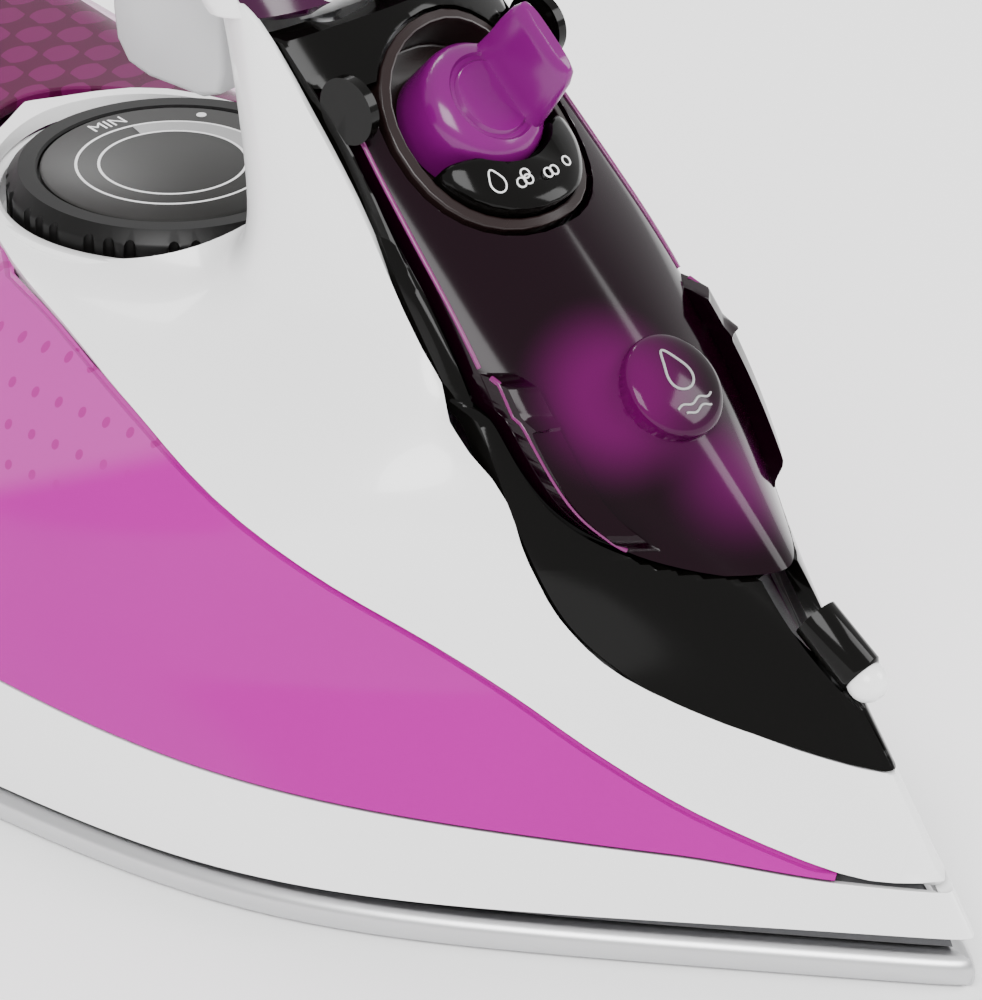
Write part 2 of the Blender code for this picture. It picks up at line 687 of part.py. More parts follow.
# ---------------------------------------------------------------- front: cover, lid, filler
def front_skin(name, low, high, width_at, wall, finish, proud=0.0, columns=24, rows=30, drop=0.0,
               sink=None):
    """A piece of the round front between two heights, as wide as width_at(z) gives."""
    share = np.linspace(-1.0, 1.0, columns)
    grid = np.zeros((rows, columns, 3))
    steps = np.linspace(0.0, 1.0, rows)
    if sink:            # rows along the recess's lower edge
        marks = (np.array([51.4, 52.2, 53.2, 54.6]) - low) / (high - low)
        steps = np.sort(np.concatenate([steps[np.abs(steps - 0.27) > 0.04], marks]))
        grid = np.zeros((len(steps), columns, 3))
    for r, v in enumerate(steps):
        z = low + (high - drop * share ** 2 - low) * v
        y = share * width_at(z)
        if sink:        # two columns on each side keep to the edge of the recess
            whole, side = width_at(z), np.sign(share)
            edge = np.minimum(np.maximum(lid_half_width(z), 0.6 * whole), np.maximum(whole - 0.45, 0.8 * whole))
            y = share * np.maximum(edge - 0.8, 0.8 * edge) / share[-3]
            y[[0, -1]] = (side * whole)[[0, -1]]
            y[[1, -2]] = (side * edge)[[1, -2]]
        grid[r] = np.column_stack([front_depth(y, z), y, z])
    deeper = sink(grid[..., 1], grid[..., 2]) if sink else 0.0
    return walled(name, grid, wall + deeper, finish, inside=(120.0, 0.0, 60.0),
                  proud=proud - deeper, lean=1.0)


def pocket_outline(grow=0.0):
    return oval(17.5 + grow, RING_HALF_WIDTH + grow, 34, 0.9, (-2.0, 0.0))


def hinge_knuckle(name, side, low, high, radius):
    return turned(name, [(0, high), (radius, high), (radius, low), (0, low)], None,
                  (HINGE[0], 0.0, HINGE[1]), (0, side, 0), 14, HELPERS)


def hinge_room(name, side):
    """Slot behind the lid's hinge that its upper arm turns down into."""
    arc = [(HINGE[0] + 6.4 * math.cos(t), HINGE[1] + 6.4 * math.sin(t))
           for t in np.radians(np.linspace(3.0, -100.0, 10))]
    return stacked(name, [[(d, side * y, z) for d, z in [HINGE] + arc] for y in (13.6, 17.35)],
                   None, HELPERS, smooth=False)


def make_front_cover():
    cover = front_skin("front_cover", COVER_EDGE[0][0] + GAP, COVER_TOP,
                       cover_reach, SHELL_WALL, BLACK, columns=19, rows=22, drop=COVER_DROP,
                       sink=lid_recess)
    cut(cover, LEVER.prism("pocket_window", pocket_outline(), -24.0, 24.0))
    hole = FILLER_RADIUS + GAP
    neck = turned("neck_hole", [(0, 30), (hole, 30), (hole, -30), (0, -30)], None,
                  FILLER.at(0, 0, 0), FILLER.axis, 40, HELPERS)
    cut(cover, cutter_of(neck))
    bore = turned("nozzle_bore", [(0, 14), (3.8, 14), (3.8, -14), (0, -14)], None, (25.0, 0.0, 44.2),
                  NOZZLE_AXIS, 20, HELPERS)
    cut(cover, cutter_of(bore))
    for side, name in ((1, "left"), (-1, "right")):
        travel = oval(BUTTON_HALF_LENGTH, BUTTON_HALF_WIDTH, 24, 0.55, (0.0, side * BUTTON_Y))
        cut(cover, PRESS.prism("button_room_" + name, travel, -15.8, 0.0))
        cut(cover, cutter_of(hinge_room("hinge_room_" + name, side)))
    for side, name in ((1, "left"), (-1, "right")):
        joined(cover, cutter_of(hinge_knuckle("cover_knuckle_" + name, side, 18.3, 19.8, 4.8)))
        cut(cover, cutter_of(hinge_knuckle("cover_pin_hole_" + name, side, 15.0, 24.0, 1.45)))
    return cover


def make_nozzle():
    turned("nozzle_barrel", [(0, 3.2), (2.4, 3.2), (3.3, 2.2), (3.3, -7.0), (0, -7.0)], BLACK,
           (23.4, 0.0, 43.2), NOZZLE_AXIS, 24)
    turned("nozzle_tip", [(0.0, 6.4)] + [(2.8 * math.sin(t), 3.7 + 2.8 * math.cos(t))
                                         for t in np.linspace(0.35, math.pi / 2 + 0.0, 7)]
           + [(2.0, 3.2 + GAP), (0.0, 3.2 + GAP)], WHITE, (23.4, 0.0, 43.2), NOZZLE_AXIS, 16)


def make_lid():
    lid = front_skin("fill_lid", LID_LOW, LID_TOP - 1.0, lambda z: lid_half_width(z) - LID_EDGE_GAP,
                     LID_WALL, LID_PURPLE, columns=15, rows=18)
    for side, name in ((1, "left"), (-1, "right")):
        z = np.linspace(56.5, 77.0, 12)
        share = np.array([0.0, 0.5, 1.0])
        y = side * ((lid_half_width(z) - LID_EDGE_GAP - 3.2)[:, None] + 3.1 * share[None, :])
        grid = np.stack([front_depth(y, z[:, None]), y, np.repeat(z[:, None], 3, axis=1)], axis=2)
        rail = walled("lid_grip_" + name, grid, 0.6, None, inside=(120.0, 0.0, 60.0), proud=2.4,
                      collection=HELPERS, lean=1.0)
        joined(lid, cutter_of(rail))
    boss = turned("lid_boss", [(0, 3.0), (3.6, 2.8), (6.4, 2.1), (BOSS_RADIUS, 1.0),
                               (BOSS_RADIUS, -PAD_DEPTH), (0, -PAD_DEPTH)], None, FILLER.at(0, 0, 0),
                  FILLER.axis, 28, HELPERS)
    joined(lid, cutter_of(boss))
    cut(lid, LEVER.prism("lid_ring", pocket_outline(0.5), -24.0, 24.0))
    arms = [(85.0, 104.6), (112.0, 104.6), (112.0, 112.0), (85.0, 112.0)]
    cut(lid, cutter_of(stacked("lid_arms", [[(d, y, z) for d, z in arms] for y in (-14.3, 14.3)],
                               None, HELPERS, smooth=False)))
    for side, name in ((1, "left"), (-1, "right")):
        joined(lid, cutter_of(hinge_knuckle("lid_knuckle_" + name, side, 15.9, 17.9, 2.4)))
        cut(lid, cutter_of(hinge_knuckle("lid_pin_hole_" + name, side, 14.0, 24.0, 1.45)))
    return pivot(lid, (HINGE[0], 0.0, HINGE[1]))


def make_lid_inner():
    top = -PAD_DEPTH - GAP
    turned("lid_seal", [(5.3, top), (8.2, top), (8.2, -NECK_DEPTH + GAP), (5.3, -NECK_DEPTH + GAP)],
           RUBBER, FILLER.at(0, 0, 0), FILLER.axis, 32)
    turned("lid_plug", [(0, top), (4.6, top), (4.6, -7.6), (3.4, -9.6), (0, -9.6)],
           WHITE, FILLER.at(0, 0, 0), FILLER.axis, 28)
    for side, name in ((1, "left"), (-1, "right")):
        turned("lid_pin_" + name, [(0, 19.6), (1.1, 19.6), (1.1, 16.1), (0, 16.1)], STEEL,
               (HINGE[0], 0.0, HINGE[1]), (0, side, 0), 14)
    inner = FILLER_RADIUS - NECK_WALL
    turned("filler_neck", [(FILLER_RADIUS, -NECK_DEPTH), (FILLER_RADIUS, -30.0), (inner, -30.0),
                           (inner, -NECK_DEPTH)], WHITE, FILLER.at(0, 0, 0), FILLER.axis, 28)


# ---------------------------------------------------------------- steam lever
def make_lever_cup():
    outer, inner = pocket_outline(-FIT), pocket_outline(-FIT - 1.8)
    rim = [LEVER.at(s, y, LEVER.down_to_front(s, y) - 0.4) for s, y in outer]
    edge = [LEVER.at(s, y, LEVER.down_to_front(s, y) - 0.4) for s, y in inner]
    floor = POCKET_DEPTH
    bottom = [LEVER.at(s, y, -floor - 1.8) for s, y in outer]
    inside = [LEVER.at(s, y, -floor) for s, y in inner]
    cup = stacked("lever_cup", [bottom, rim, edge, inside], CUP)
    bore = turned("lever_bore", [(0, 4), (3.5, 4), (3.5, -16), (0, -16)], None, LEVER.at(0, 0, 0),
                  LEVER.axis, 20, HELPERS)
    return cut(cup, cutter_of(bore))


def make_lever():
    low = -POCKET_DEPTH + FIT
    drum = turned("steam_lever", [(0, DRUM_RISE), (6.5, DRUM_RISE - 0.3), (DRUM_RADIUS - 0.8, DRUM_RISE - 1.6),
                                  (DRUM_RADIUS, DRUM_RISE - 3.0), (DRUM_RADIUS, low), (0, low)],
                  MAGENTA, LEVER.at(0, 0, 0), LEVER.axis, 30)
    levels = [(DRUM_RISE - 2.5, 7.0, 2.0, 0.5, 4.4), (9.0, 6.6, 1.6, 1.4, 5.2),
              (12.2, 5.2, 1.1, 1.8, 5.4)]
    loops = [[LEVER.at(s, y, h) for s, y in oval(half_s, half_y, 24, 0.7, (s0, y0))]
             for h, half_s, half_y, s0, y0 in levels]
    joined(drum, cutter_of(stacked("lever_fin", loops, None, HELPERS)))
    turned("lever_shaft", [(0, low - GAP), (3.0, low - GAP), (3.0, -16.0), (6.0, -16.0), (6.0, -18.0),
                           (0, -18.0)], STEEL, LEVER.at(0, 0, 0), LEVER.axis, 24)
    return drum


def make_icon_plate():
    points = oval(5.0, 12.2, 36, 0.75, (-12.9, 0.0))
    points = [(s + 0.035 * y * y, y) for s, y in points]
    low = [LEVER.at(s, y, -POCKET_DEPTH + GAP) for s, y in points]
    mid = [LEVER.at(s, y, LEVER.down_to_front(s, y) + 0.4) for s, y in points]
    crown = [(-12.0 + (s + 12.0) * 0.72, y * 0.82) for s, y in points]
    top = [LEVER.at(s, y, LEVER.down_to_front(s, y) + 2.2) for s, y in crown]
    plate = stacked("icon_plate", [low, mid, top], BLACK)
    clear = turned("drum_clearance", [(0, 20), (DRUM_RADIUS + FIT, 20), (DRUM_RADIUS + FIT, -20),
                                      (0, -20)], None, LEVER.at(0, 0, 0), LEVER.axis, 30, HELPERS)
    cut(plate, cutter_of(clear))
    return boolean(plate, LEVER.prism("icon_plate_outline", pocket_outline(-FIT - 1.8 - GAP), -20.0, 20.0),
                   "INTERSECT")


def make_valve():
    turned("valve_rod", [(0, 78), (2.6, 78), (2.6, 75), (1.5, 74), (1.5, 27), (0, 25)], STEEL,
           (VALVE_D, 0.0, 0.0), steps=16)
    turned("valve_seat", [(2.1, 38), (4.4, 38), (5.3, 34), (5.3, 22.5 + GAP), (2.1, 22.5 + GAP)],
           STEEL, (VALVE_D, 0.0, 0.0), steps=24)


# ---------------------------------------------------------------- handle
def handle_piece(name, first, last, low_angle, high_angle, rows, columns, wall, finish, closed=False,
                 proud=0.0, collection=None):
    if closed:
        grid = handle_grid(first, last, rows, 0.0, 360.0, columns + 1)[:, :-1]
        return walled(name, grid, wall, finish, closed=True, inside=(200.0, 0.0, 134.0), proud=proud,
                      collection=collection)
    grid = handle_grid(first, last, rows, low_angle, high_angle, columns)
    middle = (200.0, 0.0, 300.0) if low_angle > 45.0 else (200.0, 0.0, 60.0)
    return walled(name, grid, wall, finish, inside=middle, proud=proud, collection=collection)


def make_handle():
    seam = 8.0
    lower = handle_piece("handle_shell", 0.42, GRIP_END - SPLIT, TOP_ANGLE + seam,
                         360.0 - TOP_ANGLE - seam, 21, 12, HANDLE_WALL, WHITE)
    frame = handle_piece("button_frame", 0.3, FRAME_END - SPLIT, -TOP_ANGLE, TOP_ANGLE, 8, 13,
                         HANDLE_WALL, FRAME_PURPLE)
    grip = handle_piece("handle_top", FRAME_END + SPLIT, GRIP_END - SPLIT, -TOP_ANGLE, TOP_ANGLE, 14,
                        11, HANDLE_WALL, BLACK)
    column = handle_piece("heel_column", GRIP_END + SPLIT, 10.0, 0, 0, 10, 20, HANDLE_WALL,
                          WHITE, closed=True)
    for side, name in ((1, "left"), (-1, "right")):
        points = oval(BUTTON_HALF_LENGTH, BUTTON_HALF_WIDTH, 32, 0.55, (0.0, side * BUTTON_Y))
        cut(frame, PRESS.prism("button_opening_" + name, points, -30.0, 30.0))
    lens = turned("lens_bore", [(0, 8), (3.0 + GAP, 8), (3.0 + GAP, -8), (0, -8)], None, LENS_AT,
                  LENS_AXIS, 20, HELPERS)
    cut(frame, cutter_of(lens))
    gland = turned("gland_bore", [(0, 20), (7.2 + FIT, 20), (7.2 + FIT, -20), (0, -20)], None,
                   (GLAND_D, 0.0, GLAND_Z), GLAND_AXIS, 28, HELPERS)
    cut(grip, cutter_of(gland))
    cut(column, cutter_of(gland))
    for side, name in ((1, "left"), (-1, "right")):
        cut(column, cutter_of(rounded_box("foot_hole_" + name, (9.8, 9.8, 16.0), None, FOOT_AT[side],
                                          REAR_AXIS, collection=HELPERS)))
        bore = turned("screw_hole_" + name, [(0, 6), (3.5, 6), (3.5, -1.6), (1.8, -1.6), (1.8, -12),
                                             (0, -12)], None, SCREW_AT[side], REAR_AXIS, 16, HELPERS)
        cut(column, cutter_of(bore))
    return lower, frame, grip, column


def make_buttons():
    for side, name in ((1, "spray"), (-1, "steam")):
        blank = handle_piece(name + "_button", 0.05, 2.25, 1.0 if side > 0 else -70.0,
                             70.0 if side > 0 else -1.0, 10, 8, 5.0, WHITE, proud=1.2)
        points = oval(BUTTON_HALF_LENGTH - FIT, BUTTON_HALF_WIDTH - FIT, 32, 0.55,
                      (0.0, side * BUTTON_Y))
        boolean(blank, PRESS.prism(name + "_button_outline", points, -30.0, 30.0), "INTERSECT")
        stem = turned(name + "_stem_blank", [(0, 122.0), (STEM_RADIUS + 1.4, 122.0),
                                             (STEM_RADIUS + 1.4, 117.2), (STEM_RADIUS, 117.2),
                                             (STEM_RADIUS, 108.0), (0, 108.0)], None,
                      (PUMP_D, side * BUTTON_Y, 0.0), steps=20, collection=HELPERS)
        joined(blank, cutter_of(stem))
        y = side * BUTTON_Y
        bore, mouth = PUMP_RADIUS - 1.2, STEM_RADIUS + 0.6
        turned(name + "_pump", [(0, PUMP_LOW + 1.5), (bore, PUMP_LOW + 1.5), (bore, PUMP_TOP - 1.2),
                                (mouth, PUMP_TOP - 1.2), (mouth, PUMP_TOP), (PUMP_RADIUS, PUMP_TOP),
                                (PUMP_RADIUS, PUMP_LOW), (0, PUMP_LOW)], WHITE, (PUMP_D, y, 0.0),
               steps=28)
        turned(name + "_piston", [(0, 108.0 - GAP), (PUMP_RADIUS - 1.2 - FIT, 108.0 - GAP),
                                  (PUMP_RADIUS - 1.2 - FIT, 102.0), (0, 102.0)], RUBBER,
               (PUMP_D, y, 0.0), steps=24)
        turns, count = 3.5, 29
        helix = []
        for t in np.linspace(0.0, 1.0, count):
            angle = 2 * math.pi * turns * t
            helix.append((PUMP_D + 2.45 * math.cos(angle), y + 2.45 * math.sin(angle),
                          PUMP_TOP + 0.9 + (116.0 - PUMP_TOP - 0.9) * t))
        tube(name + "_spring", helix, 0.35, STEEL, 1)


def make_guard():
    """The rounded tab that hangs under the handle behind its post."""
    centre = [(131.0, 116.0), (131.0, 96.5), (135.0, 94.2), (146.0, 94.2), (151.5, 97.0),
              (153.0, 103.0), (153.0, 118.5), (145.0, 116.2)]
    line = np.array(centre)
    loops = []
    for y, shrink in ((-8.6, 1.3), (-7.6, 0.2), (7.6, 0.2), (8.6, 1.3)):
        middle = np.array([142.0, 108.0])
        loop = middle + (line - middle) * (1.0 - shrink / 14.0)
        loops.append([(d, y, z) for d, z in loop])
    guard = stacked("finger_guard", loops, GREY, smooth=True)
    clear = handle_piece("guard_trim", 0.0, 6.0, TOP_ANGLE, 360.0 - TOP_ANGLE, 40, 22, 12.0, None,
                         proud=GAP, collection=HELPERS)
    cut(guard, cutter_of(clear))
    return guard


# ---------------------------------------------------------------- dial and thermostat
def make_dial():
    low = DIAL_TOP - DIAL_HEIGHT
    ring = turned("dial_ring", [(0, DIAL_TOP - FACE_DEPTH), (FACE_RADIUS + GAP, DIAL_TOP - FACE_DEPTH),
                                (FACE_RADIUS + GAP, DIAL_TOP), (DIAL_RADIUS - 1.4, DIAL_TOP),
                                (DIAL_RADIUS, DIAL_TOP - 1.4), (DIAL_RADIUS, low), (0, low)], BLACK,
                  (DIAL_D, 0.0, 0.0), steps=48)
    grooves = bmesh.new()
    for i in range(18):
        if i % 3 == 2:
            continue
        angle = math.radians(20.0 * i)
        spot = place(DIAL_D + math.cos(angle) * (DIAL_RADIUS + 0.35),
                     math.sin(angle) * (DIAL_RADIUS + 0.35), low + DIAL_HEIGHT * 0.5)
        bmesh.ops.create_cone(grooves, cap_ends=True, segments=8, radius1=1.15 * MM,
                              radius2=1.15 * MM, depth=DIAL_HEIGHT * 0.62 * MM,
                              matrix=Matrix.Translation(spot))
    cut(ring, cutter_of(from_bmesh("dial_grooves", grooves, None, HELPERS, smooth=False)))
    turned("dial_face", [(0, DIAL_TOP), (FACE_RADIUS - 0.3, DIAL_TOP), (FACE_RADIUS, DIAL_TOP - 0.3),
                         (FACE_RADIUS, DIAL_TOP - FACE_DEPTH + GAP), (0, DIAL_TOP - FACE_DEPTH + GAP)],
           DIAL_GREY, (DIAL_D, 0.0, 0.0), steps=30)
    turned("dial_shaft", [(0, low - GAP), (3.2, low - GAP), (3.2, 46.5), (0, 46.5)], STEEL,
           (DIAL_D, 0.0, 0.0), steps=24)
    turned("thermostat", [(0, 46.0), (5.0, 46.0), (5.0, 38.0), (14.0, 38.0), (14.0, 24.0), (12.0, 24.0),
                          (12.0, 22.5), (0, 22.5)], CASTING, (DIAL_D, 0.0, 0.0), steps=22)


# ---------------------------------------------------------------- heel
def make_heel():
    turned("cord_gland", [(4.2, 11.5), (5.6, 11.5), (6.4, 10.6), (7.2, 4.0), (7.2, -6.0), (9.4, -6.0),
                          (9.4, -8.0), (4.2, -8.0)], BLACK, (GLAND_D, 0.0, GLAND_Z), GLAND_AXIS, 20)
    rounded_box("terminal_block", (16.0, 26.0, 12.0), WHITE, (253.0, 0.0, 99.0), edge=0.8)
    for side, name in ((1, "left"), (-1, "right")):
        turned("heel_screw_" + name, [(0, 0.6), (2.2, 0.6), (3.0, 0.0), (3.0, -1.2), (1.4, -1.2),
                                      (1.4, -9.0), (0, -9.0)], STEEL, SCREW_AT[side], REAR_AXIS, 20)
        rounded_box("heel_foot_" + name, (9.0, 9.0, 5.2), RUBBER, FOOT_AT[side], REAR_AXIS, 1.0)
    turned("indicator_lens", [(0, 1.4), (1.8, 1.1), (3.0, 0.2), (3.0, -4.0), (0, -4.0)], LENS_RED,
           LENS_AT, LENS_AXIS, 24)


LENS_AT = (125.4, 0.0, 137.3)
LENS_AXIS = (0.55, 0.0, 0.835)
SCREW_AT = {1: (270.9, 8.0, 94.6), -1: (270.9, -8.0, 94.6)}
FOOT_AT = {1: (270.6, 13.0, 104.0), -1: (270.6, -13.0, 104.0)}


clear_scene()
PARTS = new_collection("steam_iron")
HELPERS = new_collection("cutters")
WHITE = material("white_shell", (0.86, 0.86, 0.86), 0.28)
TANK = material("magenta_tank", (0.62, 0.02, 0.42), 0.08, transmission=0.35)
DARK_TANK = material("dark_deck", (0.30, 0.01, 0.18), 0.12)
SOLE_METAL = material("sole_metal", (0.62, 0.62, 0.63), 0.32, 1.0)
CASTING = material("cast_heater", (0.35, 0.35, 0.36), 0.5, 1.0)
STEEL = material("steel", (0.6, 0.6, 0.62), 0.3, 1.0)
BLACK = material("gloss_black", (0.012, 0.011, 0.010), 0.12)
LID_PURPLE = material("lid_purple", (0.05, 0.0, 0.03), 0.1)
MAGENTA = material("lever_magenta", (0.35, 0.01, 0.28), 0.15)
CUP = material("pocket_brown", (0.05, 0.02, 0.025), 0.3)
FRAME_PURPLE = material("frame_purple", (0.14, 0.01, 0.11), 0.15)
GREY = material("light_grey", (0.6, 0.6, 0.6), 0.35)
DIAL_GREY = material("dial_face", (0.07, 0.066, 0.062), 0.35)
RUBBER = material("rubber", (0.03, 0.03, 0.03), 0.8)
LENS_RED = material("lens", (0.6, 0.05, 0.02), 0.1, transmission=0.5)


def main():
    make_soleplate()
    make_heater()
    make_skirt()
    make_tank()
    make_tank_floor()
    make_main_shell()
    make_rear_deck()
    make_front_cover()
    make_nozzle()
    make_lid()
    make_lid_inner()
    make_lever_cup()
    make_lever()
    make_icon_plate()
    make_valve()
    make_handle()
    make_buttons()
    make_guard()
    make_dial()
    make_heel()


main()
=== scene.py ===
import json
import math

import bmesh
import bpy
import numpy as np
from mathutils import Matrix, Vector


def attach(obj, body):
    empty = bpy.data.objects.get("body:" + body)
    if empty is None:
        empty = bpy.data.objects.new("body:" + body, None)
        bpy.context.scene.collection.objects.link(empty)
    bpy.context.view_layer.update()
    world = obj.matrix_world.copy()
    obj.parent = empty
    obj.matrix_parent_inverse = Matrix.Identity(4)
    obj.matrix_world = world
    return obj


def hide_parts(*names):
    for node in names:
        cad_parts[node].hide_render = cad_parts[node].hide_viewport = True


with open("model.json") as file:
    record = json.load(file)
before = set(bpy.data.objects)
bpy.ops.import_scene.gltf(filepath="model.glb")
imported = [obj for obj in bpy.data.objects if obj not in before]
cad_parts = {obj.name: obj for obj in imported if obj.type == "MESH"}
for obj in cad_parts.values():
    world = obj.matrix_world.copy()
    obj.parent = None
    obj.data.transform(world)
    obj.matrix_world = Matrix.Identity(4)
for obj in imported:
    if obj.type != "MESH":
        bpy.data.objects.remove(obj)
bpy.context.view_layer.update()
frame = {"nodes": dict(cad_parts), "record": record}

bl_info = {
    "name": "Steam iron",
    "version": (1, 0, 0),
    "blender": (4, 5, 0),
    "location": "3D View > Sidebar > Iron",
    "description": "Detailed outer pieces of a steam iron round its packed frame",
    "category": "Object",
}

# Sizes below are in millimetres: d runs back from the soleplate's nose, y from the centre plane to
# the left, z up from the table.

MM = 0.001

# ---------------------------------------------------------------- driving dimensions
SOLE_LENGTH = 232.0
SOLE_HALF_WIDTH = 60.0        # of the curve that the flanks tend to; the closing tail takes off a little
SOLE_THICKNESS = 5.0
NOSE_SLOPE = 0.67             # tangent of half the nose angle
NOSE_ROUND = 2.0
BODY_TAIL = 240.0             # rear of the body just above the soleplate
TAIL_LEAN = 0.35              # how far the rear leans back for each millimetre up
TAIL_START = 150.0            # where the outline starts to close
BODY_FLOOR = 8.0
DECK_RISE = 65.0              # from the body floor to the deck under the handle
REAR_RISE = 12.0              # how much further the deck rises towards the heel
POST_HALF_WIDTH = 24.5
LOW_SLOPE, LOW_Z = 1.50, 8.0  # the nose line is a steep line that runs over into a flatter one
TOP_SLOPE, TOP_Z = 0.93, 22.0
PROFILE_BLEND = 3.0

SHELL_WALL = 2.4
SKIRT_WALL = 2.2
LID_WALL = 2.2
GAP = 0.35                    # between neighbours that touch in the real iron
FIT = 0.5                     # round a part that slides or turns in another

DIAL_D, DIAL_TOP = 150.0, 77.0
DIAL_RADIUS, DIAL_HEIGHT = 24.2, 7.6
FACE_RADIUS, FACE_DEPTH = 19.2, 1.2
WELL_CLEARANCE = 1.0
WELL_WALL = 2.5
WELL_TOP = 73.7

HANDLE_WALL = 2.6

HEEL_D = 277.0                # rearmost point, at the heel of the handle
NOSE_X = HEEL_D / 2           # x of the soleplate's nose, so that the origin is under the middle


# ---------------------------------------------------------------- the outer form
def smooth_step(value, low, high):
    t = np.clip((value - low) / (high - low), 0.0, 1.0)
    return t * t * (3.0 - 2.0 * t)


def nose_line(z):
    """Distance back of the front edge at height z."""
    z = np.asarray(z, float)
    steep = (z - LOW_Z) / LOW_SLOPE
    flat = (z - TOP_Z) / TOP_SLOPE
    reach = (steep + flat) / 2 + np.sqrt(((steep - flat) / 2) ** 2 + PROFILE_BLEND ** 2)
    return np.maximum(reach - 0.35, 0.0)


def deck_rise(d):
    return DECK_RISE + REAR_RISE * smooth_step(d, 160.0, 235.0)


def hull_width(z, d=0.0):
    """Half the width that the section tends to at height z, before the nose and tail close it."""
    rise = np.clip(1.0 - (np.maximum(z - BODY_FLOOR, 0.0) / deck_rise(d)) ** 2, 0.0, 1.0)
    return POST_HALF_WIDTH + (SOLE_HALF_WIDTH - POST_HALF_WIDTH) * np.sqrt(rise)


def bluntness(z):
    """The nose turns from a wedge into a round front between these heights."""
    blend = smooth_step(z, 32.0, 88.0)
    return NOSE_ROUND + 10.0 * blend, NOSE_SLOPE + 0.55 * blend


def tail_at(z):
    return BODY_TAIL + TAIL_LEAN * np.maximum(z - BODY_FLOOR, 0.0)


def closing(d, tail):
    t = np.clip((d - TAIL_START) / (tail - TAIL_START), 0.0, 1.0)
    return (1.0 - t ** 3.0) ** (1.0 / 2.2)


def half_width(d, z, tail=None):
    """Half the hull's width at distance d and height z."""
    radius, slope = bluntness(z)
    back = np.maximum(d - nose_line(z), 0.0)
    reach = np.sqrt(back * (back + 2.0 * radius))
    width = hull_width(z, d)
    t = slope * reach / width
    flank = width * t / (1.0 + t ** 5.5) ** (1.0 / 5.5)
    return flank * closing(d, tail_at(z) if tail is None else tail)


def front_depth(y, z):
    """Distance back of the front surface at (y, z), the inverse of half_width ahead of the tail."""
    radius, slope = bluntness(z)
    width = hull_width(z)
    q = np.clip(np.abs(y) / width, 0.0, 0.999)
    reach = q / (1.0 - q ** 5.5) ** (1.0 / 5.5) * width / slope
    return nose_line(z) + np.sqrt(reach ** 2 + radius ** 2) - radius


def place(d, y, z):
    return Vector((NOSE_X - float(d), float(y), float(z))) * MM


def catmull_rom(points, count):
    """count points on a smooth curve through the given ones."""
    keys = np.asarray(points, float)
    ends = np.vstack([2 * keys[0] - keys[1], keys, 2 * keys[-1] - keys[-2]])
    result = []
    for u in np.linspace(0.0, len(keys) - 1, count):
        i = min(int(u), len(keys) - 2)
        t = u - i
        a, b, c, e = ends[i:i + 4]
        result.append(0.5 * (2 * b + (c - a) * t + (2 * a - 5 * b + 4 * c - e) * t ** 2
                             + (3 * b - a - 3 * c + e) * t ** 3))
    return np.array(result)


def cosine_steps(count):
    return (1.0 - np.cos(np.linspace(0.0, math.pi, count))) / 2.0


def mirrored(half, closed):
    """Columns of a full grid from those of one side; both ends are on the centre plane if closed."""
    other = half[:, ::-1].copy()
    other[..., 1] *= -1.0
    return np.concatenate([half, other[:, 1:-1] if closed else other[:, 1:]], axis=1)


def grid_normals(grid, closed):
    if closed:
        wide = np.concatenate([grid[:, -1:], grid, grid[:, :1]], axis=1)
        along = (wide[:, 2:] - wide[:, :-2])
    else:
        along = np.gradient(grid, axis=1)
    across = np.gradient(grid, axis=0)
    normal = np.cross(along, across)
    length = np.linalg.norm(normal, axis=2, keepdims=True)
    return normal / np.maximum(length, 1e-9)


def facing_out(grid, normal, inside):
    middle = grid - np.asarray(inside, float)
    return normal if np.sum(middle * normal) > 0 else -normal


def outline(z, inset=0.0, steps=36, tail=None):
    """Closed outline of the hull at height z, moved inwards by inset; an array of (d, y)."""
    end = float(tail_at(z)) if tail is None else tail
    nose = float(nose_line(z))
    d = nose + (end - nose) * cosine_steps(4 * steps + 1)
    y = half_width(d, z, end)
    if inset:
        slope_d, slope_y = np.gradient(d), np.gradient(y)
        length = np.hypot(slope_d, slope_y)
        d, y = d + inset * slope_y / length, y - inset * slope_d / length
        inner = y > 0.0
        first, last = d[inner][0], d[inner][-1]
        d = np.concatenate([[first - 0.4], d[inner], [last + 0.2]])
        y = np.concatenate([[0.0], y[inner], [0.0]])
    pick = cosine_steps(steps + 1)
    far = np.concatenate([[0.0], np.cumsum(np.hypot(np.diff(d), np.diff(y)))])
    d, y = np.interp(pick * far[-1], far, d), np.interp(pick * far[-1], far, y)
    y[0] = y[-1] = 0.0
    return np.column_stack([np.concatenate([d, d[-2:0:-1]]), np.concatenate([y, -y[-2:0:-1]])])


def loop_at(z, inset=0.0, steps=24, tail=None, height=None):
    flat = outline(z, inset, steps, tail)
    return np.column_stack([flat, np.full(len(flat), z if height is None else height)])


# ---------------------------------------------------------------- lines on the hull
TANK_LINE = [(5.3, 14.9), (15.6, 15.2), (32.6, 21.0), (46.3, 27.7), (60.2, 35.9), (76.0, 46.0),
             (91.0, 55.0), (110.0, 62.3), (135.0, 69.0), (154.0, 72.1)]
DECK_LINE = [(154.0, 30.0, 72.1), (172.0, 19.0, 75.5), (181.0, 0.0, 77.0)]
COVER_EDGE = [(28.6, 0.4), (29.6, 4.0), (31.7, 8.7), (34.2, 13.4), (38.0, 17.9), (45.2, 22.2),
              (55.0, 24.4), (66.0, 24.9), (78.0, 23.4), (94.0, 22.4), (104.0, 21.3), (119.0, 21.0)]
LID_EDGE = [(51.6, 0.0), (52.3, 6.0), (53.4, 11.0), (55.4, 15.6), (58.6, 19.2), (63.0, 21.4),
            (70.0, 22.3), (79.0, 21.9), (89.0, 21.1), (98.0, 20.2), (104.0, 19.4)]
LID_TOP = 109.4
LID_RECESS = 3.1
RING_HALF_WIDTH = 15.5
COVER_TOP = 117.0             # height at which the front cover runs over into the handle
